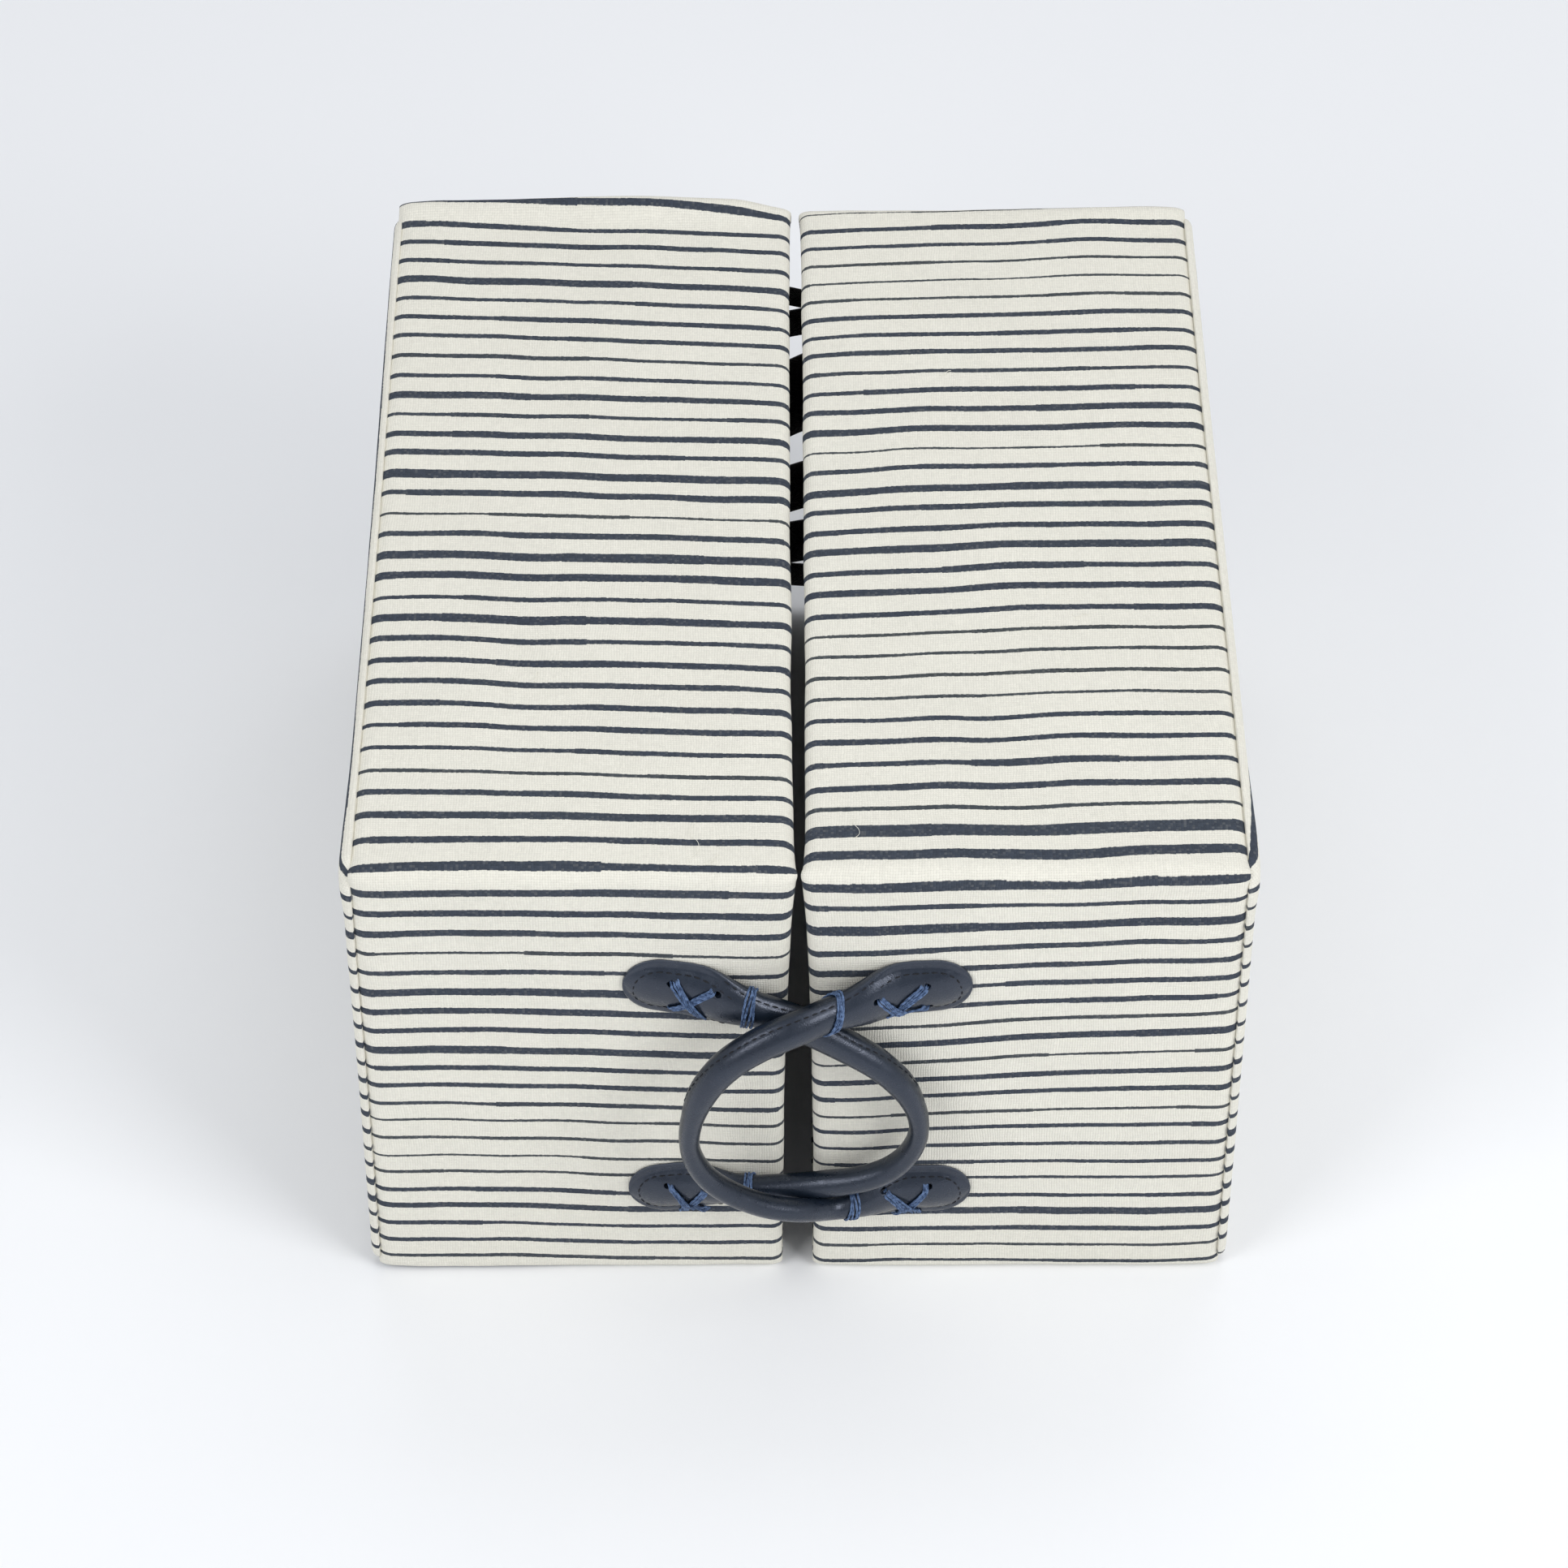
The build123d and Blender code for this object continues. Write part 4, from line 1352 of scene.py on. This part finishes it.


LANES = (-1.1, -0.37, 0.37, 1.1)  # places of the strands across a bar of thread


def make_handle_leather(half, rings, wear_and_sheen):
    """Both tabs and the roll between them, in one piece of leather."""
    count = FRONT_CELLS + BACK_CELLS
    faces = lattice_faces(len(rings), count, wrap_columns=True)
    faces += [tuple(range(count)), tuple(range((len(rings) - 1) * count, len(rings) * count))]
    made = make_object(f"{half}_handle_leather", rings.reshape(-1, 3), faces, leather, values={"rub": wear_and_sheen})
    punch_tabs(made, half)
    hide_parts(f"{half}_upper_tab", f"{half}_lower_tab", f"{half}_handle_roll")
    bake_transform(made)


def make_edge_stitching(half, rings, first_roll, roll_count):
    """Stitches round the tabs, and along the upper part of the roll's seam."""
    paths = [edge_stitch_path(half, end) for end in (0, 1)]
    seam_line = []
    for i in range(first_roll - 10, first_roll + round(roll_count * 0.4)):
        share = max(0.0, (i - first_roll) / (roll_count - 1))
        seam_line.append(ring_point(rings, i, seam_angle(half, share, GROOVE_TURN), 0.02))
    paths.append(seam_line)
    sewn = grow(
        f"{half}_edge_stitching", paths, stitch_tree, seam_thread,
        pitch=3.3 * MM, stitch_length=2.5 * MM, radius=0.34 * MM,
    )
    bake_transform(sewn)


def make_blue_thread(half, rings, first_roll, roll_count):
    """The crossed bars on both tabs and the turns round both necks."""
    strands = []
    for end in (0, 1):
        for layer, bar in enumerate(BARS[half, end]):
            strands += [bar_path(half, end, bar, lane, layer) for lane in LANES]
        strands += wrap_paths(half, end, rings, first_roll, roll_count)
    thread = grow(
        f"{half}_blue_thread", strands, twist_tree, waxed_thread,
        plies=3, ply_radius=0.22 * MM, twist_length=10.0 * MM, step=0.5 * MM,
    )
    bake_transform(thread)
    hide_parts(f"{half}_cross_stitches", f"{half}_thread_wraps")


def make_handle(half):
    """A handle: its leather, the cord inside, its stitching and its blue thread."""
    rings, wear_and_sheen, first_roll, roll_count = build_rings(half)
    make_handle_leather(half, rings, wear_and_sheen)
    core = make_core(half)
    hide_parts(f"{half}_handle_core")
    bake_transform(core)
    make_edge_stitching(half, rings, first_roll, roll_count)
    make_blue_thread(half, rings, first_roll, roll_count)


for half in SIDES:
    make_handle(half)


# ---------------------------------------------------------------- straps

# Centre height at the hinge line, width, and how much higher a strap's right end is sewn
STRAPS = [
    (176.2, 9.5, -3.0), (162.4, 14.0, 2.6), (122.0, 43.0, 6.4),
    (70.0, 27.0, 4.5), (38.0, 24.0, 2.6), (18.4, 13.0, -1.0),
]
STRAP_REACH = 34.0
STRAP = 1.15
STEP_REACH = 8.0  # how far to each side of the hinge line a strap changes its height


def strap_height(x, z, width, number):
    """How far a strap's outer face stands off the rear, pressed down at its ends and sides."""
    pressed = max(ease(abs(x), STRAP_REACH - 2, STRAP_REACH), ease(abs(z), width / 2 - 1.2, width / 2))
    return STRAP - 0.35 * pressed + 0.06 * wave(x / 9, z / 7, number, 2)


def make_straps():
    """Webbing straps across the rear, each in one piece from half to half, level on both
    and stepping up where it crosses the gap."""
    points, faces, threads = [], [], []
    left = np.linspace(-STRAP_REACH, -STEP_REACH - 1, 14)
    right = np.linspace(STEP_REACH + 1, STRAP_REACH, 14)
    xs = np.concatenate([left, np.linspace(-STEP_REACH, STEP_REACH, 21), right])
    for number, (centre_z, width, step) in enumerate(STRAPS):
        zs = np.linspace(-width / 2, width / 2, 13)
        start = len(points)
        for outside in (True, False):
            for x in xs:
                rise = step * (ease(x, -STEP_REACH, STEP_REACH) - 0.5)
                for z in zs:
                    out = strap_height(x, z, width, number) if outside else 0.06
                    points.append((x, REAR + out, centre_z + rise + z))
                    threads.append((x, z))
            quads = lattice_faces(len(xs), len(zs))
            base = start if outside else start + len(xs) * len(zs)
            faces += [tuple(base + i for i in quad) for quad in quads]
        across, size = len(zs), len(xs) * len(zs)
        edge = [i * across + j for j, i in lattice_edge(across, len(xs))]
        for a, b in zip(edge, edge[1:] + edge[:1]):
            faces.append((start + a, start + b, start + size + b, start + size + a))
    made = make_object("hinge_straps", points, faces, webbing, maps={"threads": threads})
    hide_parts("left_strap_leaves", "right_strap_leaves")
    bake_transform(made)


def make_strap_stitching(half):
    """A box of black stitches that holds each strap's end on a half."""
    side = SIDES[half]
    paths = []
    for centre_z, width, step in STRAPS:
        top, near, far = width / 2 - 2.0, 15.0, STRAP_REACH - 3.0
        middle = centre_z + side * step / 2
        corners = [(near, -top), (far, -top), (far, top), (near, top), (near, -top)]
        paths.append([(side * x, REAR + STRAP + 0.1, middle + z) for x, z in corners])
    sewn = grow(
        f"{half}_strap_stitching", paths, stitch_tree, seam_thread,
        pitch=3.0 * MM, stitch_length=2.4 * MM, radius=0.3 * MM,
    )
    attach(sewn, f"{half}_half")


make_straps()
for half in SIDES:
    make_strap_stitching(half)


# ---------------------------------------------------------------- loose fibres

# A few ends of cotton that cling to the canvas: x, distance along the cloth from the front
# top edge, turn in degrees, length
FIBRES = {
    "left": [
        (-36.0, 16.0, 70, 17.0), (-57.0, 250.0, -20, 9.0), (-95.0, 97.0, 50, 6.0), (-30.0, 7.0, 20, 6.0),
    ],
    "right": [
        (20.5, 22.0, 80, 9.0), (104.0, 128.0, -15, 6.0), (47.0, 302.0, 40, 5.0), (58.0, 262.0, 10, 5.0),
    ],
}


def make_fibres(half):
    """Stray fibres lying on the top of a half."""
    paths = []
    for x, travel, turn, length in FIBRES[half]:
        path = []
        for t in np.linspace(0, 1, 14):
            angle = math.radians(turn) + 0.9 * math.sin(2.6 * t)
            along = length * (t - 0.5)
            y = FRONT + travel + along * math.sin(angle)
            path.append((x + along * math.cos(angle), y, HEIGHT + 0.75 + 0.25 * math.sin(3 * t)))
        paths.append(path)
    made = grow(
        f"{half}_loose_fibres", paths, twist_tree, loose_fibre,
        plies=1, ply_radius=0.09 * MM, twist_length=9.0 * MM, step=0.6 * MM,
    )
    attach(made, f"{half}_half")


for half in SIDES:
    make_fibres(half)


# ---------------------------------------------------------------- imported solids

FINISHES = {
    "board": greyboard, "wadding": wadding, "lining": lining_cloth, "handle_core": core_cotton,
    "tab": leather, "roll": leather, "cover": canvas, "stitches": waxed_thread,
    "wraps": waxed_thread, "leaves": webbing,
}
for name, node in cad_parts.items():
    for ending, material in FINISHES.items():
        if name.endswith(ending):
            node.data.materials.clear()
            node.data.materials.append(material)


# ---------------------------------------------------------------- studio


def make_floor():
    """A wide sheet of studio paper under the case, a hair below it."""
    reach, below = 6.0, 0.0004
    mesh = bpy.data.meshes.new("floor")
    corners = [(-reach, -reach), (reach, -reach), (reach, reach), (-reach, reach)]
    mesh.from_pydata([(x, y, -below) for x, y in corners], [], [(0, 1, 2, 3)])
    mesh.materials.append(studio_paper)
    floor = new_object("floor", mesh)


# Softboxes: name, place and size in metres, power in watts
SOFTBOXES = [
    ("softbox_left", (-1.4, -1.25, 1.5), (1.0, 1.2), 14.8),
    ("softbox_right", (1.45, -1.2, 1.5), (1.0, 1.2), 21.0),
    ("softbox_over", (0.1, 1.0, 2.1), (1.6, 1.0), 7.6),
    ("softbox_top", (0.5, -0.4, 2.0), (0.8, 0.9), 2.4),
]
ROOM_LIGHT = 0.53

# The camera: lens and sensor in millimetres, place in metres, tilt and turn in degrees
LENS, SENSOR = 105.19, 36.0
CAMERA_PLACE = (-0.00804, -1.24217, 1.4047)
CAMERA_TILT, CAMERA_TURN = 43.4367, -0.1446


def make_softbox(name, place, size, power):
    """A rectangular area lamp that faces the case."""
    data = bpy.data.lights.new(name, "AREA")
    data.shape = "RECTANGLE"
    data.size, data.size_y = size
    data.energy = power
    lamp = new_object(name, data)
    lamp.location = place
    aim = Vector((0, 0, 0.1)) - Vector(place)
    lamp.rotation_euler = aim.to_track_quat("-Z", "Y").to_euler()


def make_studio():
    """A dim white room, a softbox on each side in front, and two weaker ones overhead."""
    world = bpy.data.worlds.new("studio")
    bpy.context.scene.world = world
    world.use_nodes = True
    background = world.node_tree.nodes["Background"]
    background.inputs[0].default_value = linear("#F2F5FA")
    background.inputs[1].default_value = ROOM_LIGHT
    for softbox in SOFTBOXES:
        make_softbox(*softbox)


def make_camera():
    """A long lens above the front, looking down at the case."""
    data = bpy.data.cameras.new("camera")
    camera = new_object("camera", data)
    data.sensor_width = SENSOR
    data.sensor_fit = "HORIZONTAL"
    data.lens = LENS
    data.clip_start, data.clip_end = 0.05, 30.0
    camera.location = CAMERA_PLACE
    camera.rotation_euler = Euler((math.radians(CAMERA_TILT), 0.0, math.radians(CAMERA_TURN)), "XYZ")
    bpy.context.scene.camera = camera


make_floor()
make_studio()
make_camera()
bpy.context.scene.view_settings.view_transform = "Standard"
